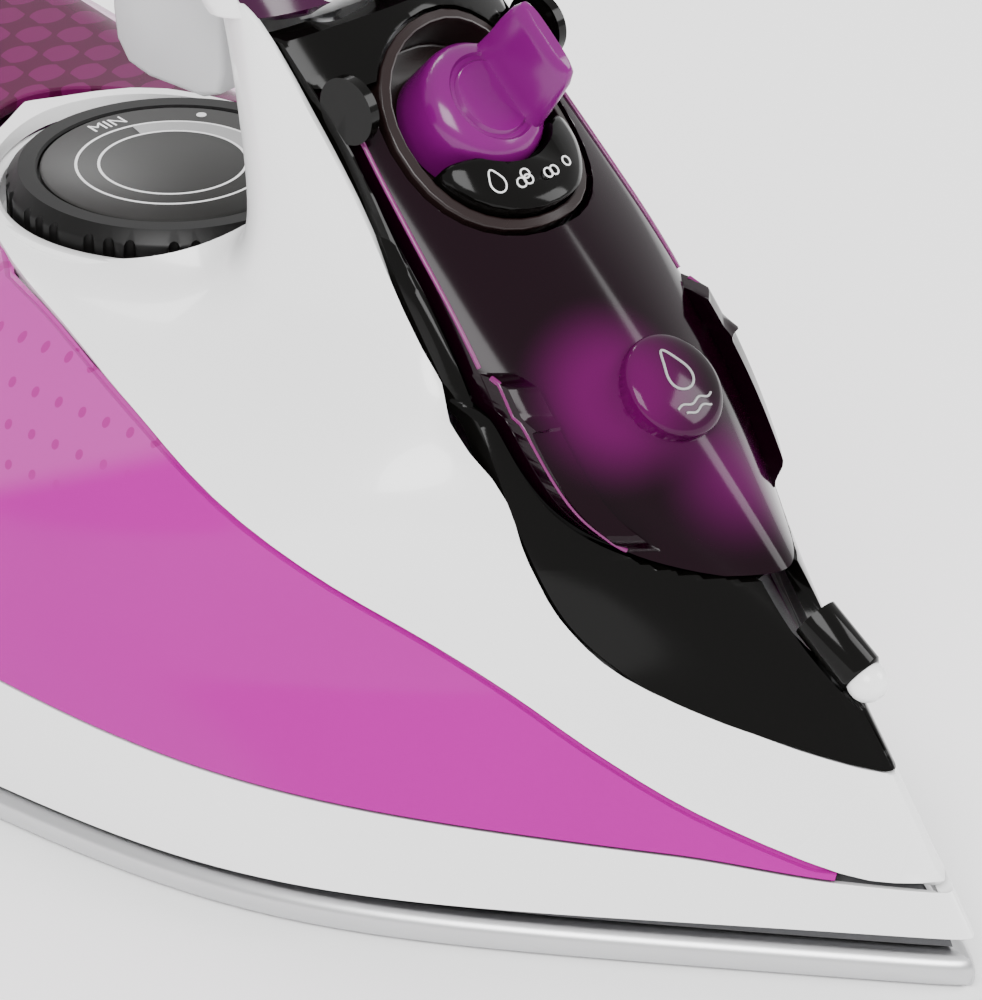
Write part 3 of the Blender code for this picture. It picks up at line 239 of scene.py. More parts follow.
COVER_DROP = 2.4              # how much lower its top edge is at the sides

FILLER_Z, FILLER_RADIUS, BOSS_RADIUS = 73.0, 9.0, 7.8
PAD_DEPTH = 4.8               # of the lid's inner pad under its surface
LEVER_Z = 105.0               # height at which the lever's axis leaves the front
DRUM_RADIUS, DRUM_RISE = 9.6, 2.2
POCKET_DEPTH = 8.0
BUTTON_D, BUTTON_Y = 114.0, 7.6
BUTTON_HALF_LENGTH, BUTTON_HALF_WIDTH = 8.5, 6.3
PUMP_D = 112.5
STEM_RADIUS = 1.6
GLAND_D, GLAND_Z = 264.5, 117.5

# Handle sections: (top d, top z, underside d, underside z, half width), from the post to the heel
HANDLE = [(104.4, 119.0, 128.5, 113.0, 21.0), (117.0, 130.2, 135.0, 117.0, 20.0),
          (132.0, 139.5, 144.0, 119.5, 18.6), (150.0, 146.0, 155.0, 120.8, 17.6),
          (175.0, 149.6, 176.0, 121.3, 17.0), (205.0, 149.0, 203.0, 120.5, 17.0),
          (233.0, 142.5, 224.0, 115.0, 18.0), (256.0, 128.5, 235.0, 104.0, 20.0),
          (271.5, 108.0, 239.0, 94.0, 22.0), (269.8, 92.0, 236.0, 88.5, 22.5),
          (267.4, 85.9, 234.0, 85.9, 20.5)]
TOP_ANGLE = 78.0              # how far round the handle the dark top reaches from its crest
FRAME_END, GRIP_END = 2.3, 7.55     # sections at which the button frame and the grip end
SPLIT = 0.03                  # half the seam between handle pieces, as a share of a section's step


def tank_line(d):
    line = catmull_rom(TANK_LINE, 120)
    return np.interp(d, line[:, 0], line[:, 1])


def cover_half_width(z):
    line = catmull_rom(COVER_EDGE, 120)
    return np.interp(z, line[:, 0], line[:, 1])


def lid_half_width(z):
    line = catmull_rom(LID_EDGE, 120)
    return np.interp(z, line[:, 0], line[:, 1])


def skirt_top(d):
    return 13.9 + smooth_step(d, 16.0, 36.0) + 8.0 * (np.clip(d, 0.0, TAIL_START) / 130.0) ** 1.4


def skirt_bottom(d):
    return 8.2 - 1.6 * smooth_step(d, 0.0, 110.0)


def deck_edge(d):
    """Height of the tank's top edge: the tank line in front, just under the deck at the rear."""
    return np.where(d < 154.0, tank_line(d) - 1.7, BODY_FLOOR + deck_rise(d) - 1.8)


def band(lower, upper, rows, columns, start=None):
    """Half grid of hull points between two heights given as functions of d, nose (or start) to tail."""
    grid = np.zeros((rows, columns, 3))
    s = cosine_steps(columns)
    for r, v in enumerate(np.linspace(0.0, 1.0, rows)):
        z = np.full(columns, 20.0)
        for _ in range(12):
            nose = nose_line(z) if start is None else start
            d = nose + (tail_at(z) - nose) * s
            z = lower(d) + (upper(d) - lower(d)) * v
        y = half_width(d, z)
        y[-1] = 0.0
        if start is None:
            y[0] = 0.0
        grid[r] = np.column_stack([d, y, z])
    return grid


def handle_section(u, angles):
    """Points of the handle's section u: angle 0 is the top, 180 degrees the underside."""
    keys = catmull_rom(HANDLE, 20 * (len(HANDLE) - 1) + 1)
    position = u * 20.0
    top_d, top_z, low_d, low_z, width = [np.interp(position, np.arange(len(keys)), keys[:, i])
                                         for i in range(5)]
    middle = np.array([(top_d + low_d) / 2, (top_z + low_z) / 2])
    up = np.array([top_d, top_z]) - middle
    reach = np.hypot(*up)
    up = up / reach
    cosine, sine = np.cos(angles), np.sin(angles)
    along = np.sign(cosine) * np.abs(cosine) ** 0.85 * reach
    across = np.sign(sine) * np.abs(sine) ** 0.85 * width
    return np.column_stack([middle[0] + up[0] * along, across, middle[1] + up[1] * along])


def handle_grid(first, last, rows, low_angle, high_angle, columns):
    angles = np.radians(np.linspace(low_angle, high_angle, columns))
    return np.array([handle_section(u, angles) for u in np.linspace(first, last, rows)])


def lid_recess(y, z):
    """How deep the front cover is set back at (y, z) to take the lid."""
    margin = np.minimum(lid_half_width(z) - np.abs(y), LID_TOP - z)
    return LID_RECESS * np.clip(margin / 0.9 + 0.1, 0.0, 1.0)


class Tilted:
    """A plane square to the centre plane: s runs up and back along it, h out of it."""

    def __init__(self, d, z, run, rise):
        length = math.hypot(run, rise)
        self.middle = (d, z)
        self.along = (run / length, rise / length)
        self.axis = (self.along[1], 0.0, self.along[0])

    def at(self, s, y, h):
        (d, z), (a, b) = self.middle, self.along
        return (d + a * s - b * h, y, z + b * s + a * h)

    def down_to_front(self, s, y):
        """The height h at which (s, y) meets the round front."""
        h = 0.0
        for _ in range(40):
            d, _, z = self.at(s, y, h)
            h += (d - float(front_depth(y, z))) * self.along[1]
        return h


def oval(half_length, half_width_y, count=40, power=1.0, centre=(0.0, 0.0)):
    """Closed outline (s, y); a power below one squares it up."""
    points = []
    for t in np.linspace(0.0, 2 * math.pi, count, endpoint=False):
        c, s = math.cos(t), math.sin(t)
        points.append((centre[0] + half_length * math.copysign(abs(c) ** power, c),
                       centre[1] + half_width_y * math.copysign(abs(s) ** power, s)))
    return points


HINGE = (96.6, 108.2)         # (d, z) of the lid's hinge
NOZZLE_AXIS = (0.82, 0.0, -0.57)
GLAND_AXIS = (-0.86, 0.0, 0.51)
REAR_AXIS = (-0.985, 0.0, 0.17)
LENS_AT, LENS_AXIS = (125.4, 0.0, 137.3), (0.55, 0.0, 0.835)
SCREW_AT = {1: (270.9, 8.0, 94.6), -1: (270.9, -8.0, 94.6)}
FOOT_AT = {1: (270.6, 13.0, 104.0), -1: (270.6, -13.0, 104.0)}
FILLER = Tilted(float(nose_line(FILLER_Z)), FILLER_Z, 1.0, TOP_SLOPE)
LEVER = Tilted(float(nose_line(LEVER_Z)), LEVER_Z, 1.0, TOP_SLOPE)
PRESS = Tilted(BUTTON_D, 128.0, 1.0, 0.0)


def pocket_outline(grow=0.0):
    return oval(17.5 + grow, RING_HALF_WIDTH + grow, 34, 0.9, (-2.0, 0.0))


def shell_keys():
    """Cage lines of the white shell: its lower edge, the foot of the post and its upper edge."""
    lower = [(5.3, 0.0, 14.9)] + [(d, None, None) for d in
                                  (15.6, 32.6, 46.3, 60.2, 76.0, 91.0, 110.0, 124.0, 135.0)]
    lower = [(d, float(half_width(d, tank_line(d))) if y is None else y, float(tank_line(d)))
             for d, y, _ in lower] + DECK_LINE
    upper = []
    for z in (28.3, 31.7, 38.0, 45.2, 54.3, 64.7, 77.6, 94.2, 107.3, 118.6):
        y = float(cover_half_width(z)) if z > 29.0 else 0.0
        upper.append((float(front_depth(y, z)), y, z))
    upper += [(124.0, 16.0, 115.6), (127.6, 8.5, 113.6), (128.5, 0.0, 113.0)]
    foot = [(9.5, 0.0, 21.5), (21.0, None, 23.0), (37.0, None, 28.5), (49.0, None, 38.0),
            (59.6, None, 46.5), (70.0, None, 56.5), (81.0, None, 67.0), (92.0, None, 74.0),
            (100.0, None, 75.0), (106.5, 24.4, 75.0), (113.5, 20.0, 75.0), (117.6, 11.0, 75.0),
            (118.6, 0.0, 75.0)]
    foot = [(d, float(half_width(d, z)) if y is None else y, z) for d, y, z in foot]
    return lower, foot, upper


def shell_cage(columns, low_rows, high_rows, rounds):
    lower, foot, upper = [catmull_rom(line, columns) for line in shell_keys()]
    last_hull = 9.0 / 12.0
    rows = []
    for v in np.linspace(0.0, 1.0, low_rows + 1)[:-1]:
        rows.append(lower + (foot - lower) * v)
    for v in np.linspace(0.0, 1.0, high_rows + 1):
        rows.append(foot + (upper - foot) * v)
    grid = np.array(rows)
    u = np.linspace(0.0, 1.0, columns)
    on_hull = half_width(grid[..., 0], grid[..., 2])
    share = 1.0 - smooth_step(u, last_hull - 0.12, last_hull + 0.02)
    grid[..., 1] = grid[..., 1] * (1.0 - share) + on_hull * share
    grid[:, 0, 1] = 0.0
    grid[:, -1, 1] = 0.0
    full = mirrored(grid, closed=True)
    for _ in range(rounds):
        soft = (np.roll(full, 1, axis=1) + np.roll(full, -1, axis=1)) / 4.0
        soft[1:-1] += (full[2:] + full[:-2]) / 4.0
        weight = smooth_step(full[1:-1, :, 2], 60.0, 70.0)[..., None] * 0.8
        full[1:-1] = full[1:-1] * (1.0 - weight) + soft[1:-1] * weight
    return full

# ---------------------------------------------------------------- materials
def new_group(name, sockets_in, sockets_out):
    group = bpy.data.node_groups.new(name, "ShaderNodeTree")
    for label, kind, value in sockets_in:
        socket = group.interface.new_socket(name=label, in_out="INPUT", socket_type=kind)
        socket.default_value = value
    for label, kind in sockets_out:
        group.interface.new_socket(name=label, in_out="OUTPUT", socket_type=kind)
    return group, group.nodes.new("NodeGroupInput"), group.nodes.new("NodeGroupOutput")


def make_surface_group():
    """Moulded surface: faint colour drift, handling marks in the gloss and a fine bump."""
    group, given, out = new_group(
        "Moulded surface",
        [("Colour", "NodeSocketColor", (1, 1, 1, 1)), ("Drift", "NodeSocketFloat", 0.05),
         ("Roughness", "NodeSocketFloat", 0.3), ("Marks", "NodeSocketFloat", 0.06),
         ("Grain", "NodeSocketFloat", 900.0), ("Depth", "NodeSocketFloat", 0.02)],
        [("Colour", "NodeSocketColor"), ("Roughness", "NodeSocketFloat"), ("Normal", "NodeSocketVector")])
    nodes, links = group.nodes, group.links
    where = nodes.new("ShaderNodeTexCoord")
    broad = nodes.new("ShaderNodeTexNoise")
    broad.inputs["Scale"].default_value = 26.0
    broad.inputs["Detail"].default_value = 3.0
    fine = nodes.new("ShaderNodeTexNoise")
    fine.inputs["Detail"].default_value = 4.0
    links.new(where.outputs["Object"], broad.inputs["Vector"])
    links.new(where.outputs["Object"], fine.inputs["Vector"])
    links.new(given.outputs["Grain"], fine.inputs["Scale"])
    tint = nodes.new("ShaderNodeMapRange")
    tint.inputs["To Min"].default_value = 1.0
    shade = nodes.new("ShaderNodeMath")
    shade.operation = "SUBTRACT"
    shade.inputs[0].default_value = 1.0
    links.new(given.outputs["Drift"], shade.inputs[1])
    links.new(shade.outputs[0], tint.inputs["To Max"])
    links.new(broad.outputs["Fac"], tint.inputs["Value"])
    mix = nodes.new("ShaderNodeVectorMath")
    mix.operation = "SCALE"
    links.new(given.outputs["Colour"], mix.inputs[0])
    links.new(tint.outputs["Result"], mix.inputs["Scale"])
    links.new(mix.outputs["Vector"], out.inputs["Colour"])
    worn = nodes.new("ShaderNodeMath")
    worn.operation = "MULTIPLY_ADD"
    links.new(broad.outputs["Fac"], worn.inputs[0])
    links.new(given.outputs["Marks"], worn.inputs[1])
    links.new(given.outputs["Roughness"], worn.inputs[2])
    links.new(worn.outputs[0], out.inputs["Roughness"])
    bump = nodes.new("ShaderNodeBump")
    bump.inputs["Distance"].default_value = 0.0002
    links.new(given.outputs["Depth"], bump.inputs["Strength"])
    links.new(fine.outputs["Fac"], bump.inputs["Height"])
    links.new(bump.outputs["Normal"], out.inputs["Normal"])
    return group


def finish(name, colour, roughness=0.3, metallic=0.0, drift=0.05, marks=0.06, grain=900.0, depth=0.02,
           coat=0.0, shine=0.5):
    """A material with the moulded-surface group ahead of its shader."""
    made = bpy.data.materials.new(name)
    made.use_nodes = True
    nodes, links = made.node_tree.nodes, made.node_tree.links
    shader = nodes["Principled BSDF"]
    group = nodes.new("ShaderNodeGroup")
    group.node_tree = SURFACE
    for label, value in (("Colour", (*colour, 1.0)), ("Drift", drift), ("Roughness", roughness),
                         ("Marks", marks), ("Grain", grain), ("Depth", depth)):
        group.inputs[label].default_value = value
    links.new(group.outputs["Colour"], shader.inputs["Base Color"])
    links.new(group.outputs["Roughness"], shader.inputs["Roughness"])
    links.new(group.outputs["Normal"], shader.inputs["Normal"])
    shader.inputs["Metallic"].default_value = metallic
    shader.inputs["Specular IOR Level"].default_value = shine
    shader.inputs["Coat Weight"].default_value = coat
    shader.inputs["Coat Roughness"].default_value = 0.05
    made.diffuse_color = (*colour, 1.0)
    return made


def make_dots_group():
    """Mask of small round dots in staggered rows, seen along one axis."""
    group, given, out = new_group(
        "Staggered dots",
        [("Spacing", "NodeSocketFloat", 0.006), ("Radius", "NodeSocketFloat", 0.16),
         ("Squash", "NodeSocketFloat", 1.0), ("Upright", "NodeSocketFloat", 1.0)],
        [("Mask", "NodeSocketFloat")])
    nodes, links = group.nodes, group.links

    def maths(operation, first, second=None):
        node = nodes.new("ShaderNodeMath")
        node.operation = operation
        for socket, value in zip(node.inputs, (first, second)):
            if value is None:
                continue
            if isinstance(value, (int, float)):
                socket.default_value = value
            else:
                links.new(value, socket)
        return node.outputs[0]

    where = nodes.new("ShaderNodeTexCoord")
    parts = nodes.new("ShaderNodeSeparateXYZ")
    links.new(where.outputs["Object"], parts.inputs[0])
    across = maths("DIVIDE", parts.outputs["X"], given.outputs["Spacing"])
    level = maths("MULTIPLY", parts.outputs["Y"], maths("SUBTRACT", 1.0, given.outputs["Upright"]))
    upright = maths("MULTIPLY", parts.outputs["Z"], given.outputs["Upright"])
    up = maths("DIVIDE", maths("ADD", upright, level), given.outputs["Spacing"])
    row = maths("FLOOR", up)
    shift = maths("MULTIPLY", maths("FLOORED_MODULO", row, 2.0), 0.5)
    du = maths("SUBTRACT", maths("FRACT", maths("ADD", across, shift)), 0.5)
    dv = maths("MULTIPLY", maths("SUBTRACT", maths("FRACT", up), 0.5), given.outputs["Squash"])
    far = maths("SQRT", maths("ADD", maths("MULTIPLY", du, du), maths("MULTIPLY", dv, dv)))
    links.new(maths("LESS_THAN", far, given.outputs["Radius"]), out.inputs["Mask"])
    return group


def ramp_along(tree, direction, start, end):
    """A value from 0 to 1 as a point moves along a direction between two distances, in millimetres."""
    nodes, links = tree.nodes, tree.links
    where = nodes.new("ShaderNodeTexCoord")
    dot = nodes.new("ShaderNodeVectorMath")
    dot.operation = "DOT_PRODUCT"
    dot.inputs[1].default_value = direction
    links.new(where.outputs["Object"], dot.inputs[0])
    span = nodes.new("ShaderNodeMapRange")
    span.interpolation_type = "SMOOTHSTEP"
    span.inputs["From Min"].default_value = start * MM
    span.inputs["From Max"].default_value = end * MM
    links.new(dot.outputs["Value"], span.inputs["Value"])
    return span.outputs["Result"]


def near(tree, centre, inner, outer):
    """A value that falls from 1 to 0 between two distances from a point."""
    nodes, links = tree.nodes, tree.links
    where = nodes.new("ShaderNodeTexCoord")
    gap = nodes.new("ShaderNodeVectorMath")
    gap.operation = "DISTANCE"
    gap.inputs[1].default_value = place(*centre)
    links.new(where.outputs["Object"], gap.inputs[0])
    span = nodes.new("ShaderNodeMapRange")
    span.interpolation_type = "SMOOTHSTEP"
    span.inputs["From Min"].default_value = inner * MM
    span.inputs["From Max"].default_value = outer * MM
    span.inputs["To Min"].default_value = 1.0
    span.inputs["To Max"].default_value = 0.0
    links.new(gap.outputs["Value"], span.inputs["Value"])
    return span.outputs["Result"]


def times(tree, first, second):
    node = tree.nodes.new("ShaderNodeMath")
    node.operation = "MULTIPLY"
    node.use_clamp = True
    for socket, value in zip(node.inputs, (first, second)):
        if isinstance(value, (int, float)):
            socket.default_value = value
        else:
            tree.links.new(value, socket)
    return node.outputs[0]


def tint(made, mask, colour):
    """Lays a colour over a finish's own where the mask is 1."""
    tree = made.node_tree
    shader = tree.nodes["Principled BSDF"]
    below = shader.inputs["Base Color"].links[0].from_socket
    mix = tree.nodes.new("ShaderNodeMix")
    mix.data_type = "RGBA"
    tree.links.new(mask, mix.inputs["Factor"])
    tree.links.new(below, mix.inputs["A"])
    mix.inputs["B"].default_value = (*colour, 1.0)
    tree.links.new(mix.outputs["Result"], shader.inputs["Base Color"])


def dots(tree, spacing, radius, squash, upright):
    group = tree.nodes.new("ShaderNodeGroup")
    group.node_tree = DOTS
    for label, value in (("Spacing", spacing), ("Radius", radius), ("Squash", squash),
                         ("Upright", upright)):
        group.inputs[label].default_value = value
    return group.outputs["Mask"]


def add_prints_and_painted_light(made):
    """Printed patterns, and painted lighter places that stand in for light passing through the tinted
    plastics.
    """
    tank = made["magenta_tank"]
    tree = tank.node_tree
    upper = ramp_along(tree, (-0.42, 0.0, 0.91), 41.0, 45.5)
    ahead = ramp_along(tree, (1.0, 0.0, 0.0), -70.0, 10.0)
    # Painted light: the tank's upper part is painted a lighter pink, standing in for light passing through
    # the tinted plastic.
    tint(tank, times(tree, upper, 0.42), (0.42, 0.09, 0.30))
    tint(tank, times(tree, times(tree, dots(tree, 0.0046, 0.14, 1.0, 1.0), upper), times(tree, ahead, 0.55)),
         (0.22, 0.0, 0.12))
    deck = made["dark_deck"]
    tree = deck.node_tree
    tint(deck, times(tree, dots(tree, 0.0058, 0.30, 0.5, 0.0), 0.5), (0.15, 0.002, 0.085))
    lid = made["lid_purple"]
    tree = lid.node_tree
    d, _, z = FILLER.at(0.0, 0.0, 0.0)
    # Painted light: two lighter spots on the lid, round the filler boss and lower down, stand in for light
    # passing through the tinted plastic.
    painted_glow = near(tree, (d + 3.0, -8.0, z + 1.0), 4.0, 15.0)
    tint(lid, times(tree, painted_glow, 0.30), (0.24, 0.0, 0.17))
    low = near(tree, (d - 10.0, 2.0, z - 11.0), 1.0, 13.0)
    tint(lid, times(tree, low, 0.22), (0.26, 0.0, 0.19))


def make_finishes(colours):
    return {
        "white_shell": finish("White shell", colours.white, 0.24, drift=0.02, marks=0.05, coat=0.35),
        "magenta_tank": finish("Magenta tank", colours.tank, 0.13, drift=0.10, marks=0.04, depth=0.01,
                               shine=0.18),
        "dark_deck": finish("Dark deck", colours.deck, 0.16, drift=0.15, marks=0.05, shine=0.3),
        "sole_metal": finish("Sole metal", (0.60, 0.60, 0.61), 0.30, 1.0, 0.06, 0.10, 1500.0, 0.05),
        "cast_heater": finish("Cast heater", (0.10, 0.10, 0.105), 0.5, 0.6, 0.2, 0.2, 500.0, 0.2),
        "steel": finish("Steel", (0.55, 0.55, 0.57), 0.28, 1.0, 0.05, 0.08),
        "gloss_black": finish("Gloss black", (0.0018, 0.0016, 0.0014), 0.10, marks=0.03, depth=0.005,
                              shine=0.14),
        "lid_purple": finish("Lid purple", colours.lid, 0.09, marks=0.03, depth=0.005, shine=0.16),
        "lever_magenta": finish("Lever magenta", colours.lever, 0.16, marks=0.04, shine=0.35),
        "pocket_brown": finish("Pocket", (0.012, 0.006, 0.006), 0.24, shine=0.3),
        "frame_purple": finish("Frame purple", colours.frame, 0.14, shine=0.35),
        "light_grey": finish("Light grey", (0.46, 0.46, 0.47), 0.33),
        "dial_face": finish("Dial face", (0.014, 0.0135, 0.0125), 0.40, grain=1400.0, shine=0.3),
        "dial_ring": finish("Dial ring", (0.003, 0.0028, 0.0027), 0.34, shine=0.2),
        "rubber": finish("Rubber", (0.020, 0.020, 0.020), 0.75, marks=0.1, depth=0.1),
        "lens": finish("Lens", (0.60, 0.05, 0.02), 0.1, coat=0.5),
        "print_white": finish("White print", (0.80, 0.80, 0.80), 0.4),
        "print_grey": finish("Grey print", (0.30, 0.30, 0.30), 0.4),
        # Painted highlight colour for the thin lines along the lid's edges.
        "painted_lid_highlight": finish("Lid painted edge highlight", (0.13, 0.002, 0.085), 0.16),
    }


# ---------------------------------------------------------------- modelling
def deselect():
    if bpy.context.object and bpy.context.object.mode != "OBJECT":
        bpy.ops.object.mode_set(mode="OBJECT")
    bpy.ops.object.select_all(action="DESELECT")


def activate(piece):
    deselect()
    piece.select_set(True)
    bpy.context.view_layer.objects.active = piece


def put_in_place(piece):
    """Leaves the piece's object at the origin with its place in its mesh."""
    activate(piece)
    bpy.ops.object.transform_apply(location=True, rotation=True, scale=True)
    return piece


def apply(piece, name, kind, **settings):
    activate(piece)
    step = piece.modifiers.new(name, kind)
    for key, value in settings.items():
        setattr(step, key, value)
    bpy.ops.object.modifier_apply(modifier=step.name)
    return piece


def soften(piece, width=0.35, segments=2, angle=38.0):
    apply(piece, "Edges", "BEVEL", width=width * MM, segments=segments, limit_method="ANGLE",
          angle_limit=math.radians(angle), harden_normals=False)
    activate(piece)
    bpy.ops.object.shade_smooth_by_angle(angle=math.radians(42))
    return piece


def solid(name, bm):
    bmesh.ops.recalc_face_normals(bm, faces=bm.faces)
    mesh = bpy.data.meshes.new(name)
    bm.to_mesh(mesh)
    bm.free()
    piece = bpy.data.objects.new(name, mesh)
    bpy.context.scene.collection.objects.link(piece)
    activate(piece)
    bpy.ops.object.shade_smooth_by_angle(angle=math.radians(42))
    return piece


def walled(name, grid, wall, closed=False, inside=(120.0, 0.0, 40.0), proud=0.0, lean=0.0):
    """A shell round the grid of (d, y, z) points, proud of it and wall deep, with its rims closed."""
    normal = facing_out(grid, grid_normals(grid, closed), inside)
    share = np.asarray(lean, float)[..., None]
    way = normal * (1.0 - share) + np.array([-1.0, 0.0, 0.0]) * share
    way = way / np.linalg.norm(way, axis=2, keepdims=True)
    way = way / np.maximum(np.sum(way * normal, axis=2, keepdims=True), 0.45)
    outer = grid + way * np.asarray(proud, float)[..., None]
    inner = grid - way * np.asarray(wall, float)[..., None]
    columns = np.arange(grid.shape[1])
    near = np.minimum(columns, grid.shape[1] - columns) * 0.05 + 0.02
    crossed = np.sign(inner[..., 1]) * np.sign(grid[..., 1]) < 0
    keep = np.abs(grid[..., 1]) > 1e-6
    inner[..., 1] = np.where(crossed & keep, np.sign(grid[..., 1]) * near, inner[..., 1])
    inner[..., 1] = np.where(keep, inner[..., 1], 0.0)
    rows, count = grid.shape[:2]
    bm = bmesh.new()
    layers = [[[bm.verts.new(place(*p)) for p in row] for row in layer] for layer in (outer, inner)]
    last = count if closed else count - 1
    for c in range(last):
        e = (c + 1) % count
        for r in range(rows - 1):
            for layer in layers:
                bm.faces.new((layer[r][c], layer[r][e], layer[r + 1][e], layer[r + 1][c]))
        for r in (0, rows - 1):
            bm.faces.new((layers[0][r][c], layers[0][r][e], layers[1][r][e], layers[1][r][c]))
    if not closed:
        for c in (0, count - 1):
            for r in range(rows - 1):
                bm.faces.new((layers[0][r][c], layers[0][r + 1][c],
                              layers[1][r + 1][c], layers[1][r][c]))
    return solid(name, bm)


def stacked(name, loops):
    """A solid through closed loops of (d, y, z) points, capped at both ends."""
    bm = bmesh.new()
    rings = [[bm.verts.new(place(*p)) for p in loop] for loop in loops]
    for low, high in zip(rings, rings[1:]):
        for i in range(len(low)):
            j = (i + 1) % len(low)
            bm.faces.new((low[i], low[j], high[j], high[i]))
    bm.faces.new(rings[0])
    bm.faces.new(rings[-1])
    return solid(name, bm)


def turned(name, profile, origin, axis=(0, 0, 1), steps=96):
    """A turned piece from (radius, height) points down its outer side; hollow if none is on the axis."""
    bm = bmesh.new()
    verts = [bm.verts.new((r * MM, 0.0, h * MM)) for r, h in profile]
    for pair in zip(verts, verts[1:]):
        bm.edges.new(pair)
    if profile[0][0] > 0.0:
        bm.edges.new((verts[-1], verts[0]))
    mesh = bpy.data.meshes.new(name)
    bm.to_mesh(mesh)
    bm.free()
    piece = bpy.data.objects.new(name, mesh)
    bpy.context.scene.collection.objects.link(piece)
    apply(piece, "Turn", "SCREW", axis="Z", angle=2 * math.pi, steps=steps, render_steps=steps,
          use_merge_vertices=True, merge_threshold=1e-6)
    bpy.ops.object.mode_set(mode="EDIT")
    bpy.ops.mesh.select_all(action="SELECT")
    bpy.ops.mesh.remove_doubles(threshold=1e-6)
    bpy.ops.mesh.normals_make_consistent(inside=False)
    bpy.ops.object.mode_set(mode="OBJECT")
    piece.rotation_mode = "QUATERNION"
    piece.rotation_quaternion = Vector((0, 0, 1)).rotation_difference(Vector(axis))
    piece.location = place(*origin)
    put_in_place(piece)
    bpy.ops.object.shade_smooth_by_angle(angle=math.radians(42))
    return piece


def carve(piece, *tools, operation="DIFFERENCE"):
    """Cuts each tool out of the piece, or joins it on, and removes the tool."""
    for tool in tools:
        apply(piece, "Carve", "BOOLEAN", operation=operation, object=tool, solver="EXACT")
        bpy.data.objects.remove(tool, do_unlink=True)
    return piece


def prism(name, plane, points, low, high):
    return stacked(name, [[plane.at(s, y, h) for s, y in points] for h in (low, high)])


def done(piece, slot, body, *nodes, paint=None):
    """Gives a piece its finish and body, and hides the CAD nodes that it stands for."""
    piece.data.materials.clear()
    piece.data.materials.append(FINISHES[paint or slot])
    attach(piece, body)
    if nodes:
        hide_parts(*nodes)
    return piece


def front_patch(low, high, width_at, columns, rows, drop=0.0, marks=()):
    """Grid of front points between two heights, with extra rows at the marks."""
    share = np.linspace(-1.0, 1.0, columns)
    steps = np.sort(np.concatenate([np.linspace(0.0, 1.0, rows), (np.array(marks) - low) / (high - low)]))
    grid = np.zeros((len(steps), columns, 3))
    for r, v in enumerate(steps):
        z = low + (high - drop * share ** 2 - low) * v
        y = share * width_at(z)
        grid[r] = np.column_stack([front_depth(y, z), y, z])
    return grid


# ---------------------------------------------------------------- pieces: soleplate and body
def build_sole():
    levels = [(0.0, 2.2), (0.15, 1.4), (0.6, 0.7), (1.3, 0.25), (2.2, 0.05), (3.2, 0.05), (4.0, 0.3),
              (4.6, 0.9), (4.9, 1.7), (SOLE_THICKNESS, 2.6)]
    plate = stacked("soleplate_skin", [loop_at(0.0, inset, 90, SOLE_LENGTH, z) for z, inset in levels])
    holes = bmesh.new()
    for side in (-1, 1):
        for d in np.arange(36.0, 190.0, 10.0):
            y = side * (float(half_width(d, 0.0, SOLE_LENGTH)) - 13.0)
            bmesh.ops.create_cone(holes, cap_ends=True, segments=20, radius1=2.4 * MM, radius2=1.4 * MM,
                                  depth=3.0 * MM, matrix=Matrix.Translation(place(d, y, 0.6)))
    carve(plate, solid("steam_holes", holes))
    done(plate, "sole_metal", "body", "soleplate")


def build_lower_body():
    skirt = walled("skirt_skin", mirrored(band(skirt_bottom, skirt_top, 7, 110), closed=True), SKIRT_WALL,
                   closed=True, inside=(120.0, 0.0, 15.0))
    done(soften(skirt), "white_shell", "body", "skirt")
    half = band(lambda d: skirt_top(d) + GAP, lambda d: np.maximum(deck_edge(d) + 1.0, skirt_top(d) + 1.1),
                16, 90, start=17.0)
    lip = band(lambda d: np.maximum(deck_edge(d) + 1.3, skirt_top(d) + 1.4),
               lambda d: np.maximum(deck_edge(d) + 1.6 + 1.6 * (1.0 - smooth_step(d, 105.0, 128.0)),
                                    skirt_top(d) + 2.4), 3, 90, start=17.0)
    sunk = np.concatenate([np.zeros(16), np.full(3, -0.8)])[:, None]
    tank = walled("tank_skin", mirrored(np.vstack([half, lip]), closed=False), SHELL_WALL,
                  inside=(130.0, 0.0, 40.0), proud=sunk)
    done(soften(tank), "magenta_tank", "body", "water_tank")


def build_shell():
    grid = shell_cage(46, 5, 7, 6)
    grid[0, :, 2] += 0.3
    rows = grid.shape[0]
    near_top = smooth_step(np.arange(rows), rows - 5.0, rows - 1.0)[:, None]
    ahead = 1.0 - smooth_step(grid[-1, :, 0], 76.0, 94.0)[None, :]
    shell = walled("shell_skin", grid, SHELL_WALL * (1.0 - 0.5 * near_top), closed=True,
                   inside=(100.0, 0.0, 60.0), lean=near_top * ahead)
    crease = shell.data.attributes.new("crease_edge", "FLOAT", "EDGE")
    counts = rows * grid.shape[1]
    for edge in shell.data.edges:
        a, b = edge.vertices
        rim_a, rim_b = (a % counts) // grid.shape[1], (b % counts) // grid.shape[1]
        if rim_a == rim_b and rim_a in (0, rows - 1):
            crease.data[edge.index].value = 0.85
    apply(shell, "Smooth", "SUBSURF", levels=2, render_levels=2)
    well = DIAL_RADIUS + WELL_CLEARANCE
    carve(shell, turned("mouth", [(0, 95), (well + WELL_WALL / 2, 95), (well + WELL_WALL / 2, 61), (0, 61)],
                        (DIAL_D, 0.0, 0.0)))
    activate(shell)
    bpy.ops.object.shade_smooth_by_angle(angle=math.radians(42))
    done(shell, "white_shell", "body", "main_shell")
    floor = DIAL_TOP - DIAL_HEIGHT - GAP
    cup = turned("dial_well", [(well, WELL_TOP - 0.4), (well + 0.5, WELL_TOP),
                               (well + WELL_WALL - 0.5, WELL_TOP),
                               (well + WELL_WALL, WELL_TOP - 0.5), (well + WELL_WALL, floor),
                               (33.0, floor), (33.0, floor - 3.0), (3.8, floor - 3.0), (3.8, floor),
                               (well, floor)], (DIAL_D, 0.0, 0.0))
    done(cup, "white_shell", "body")


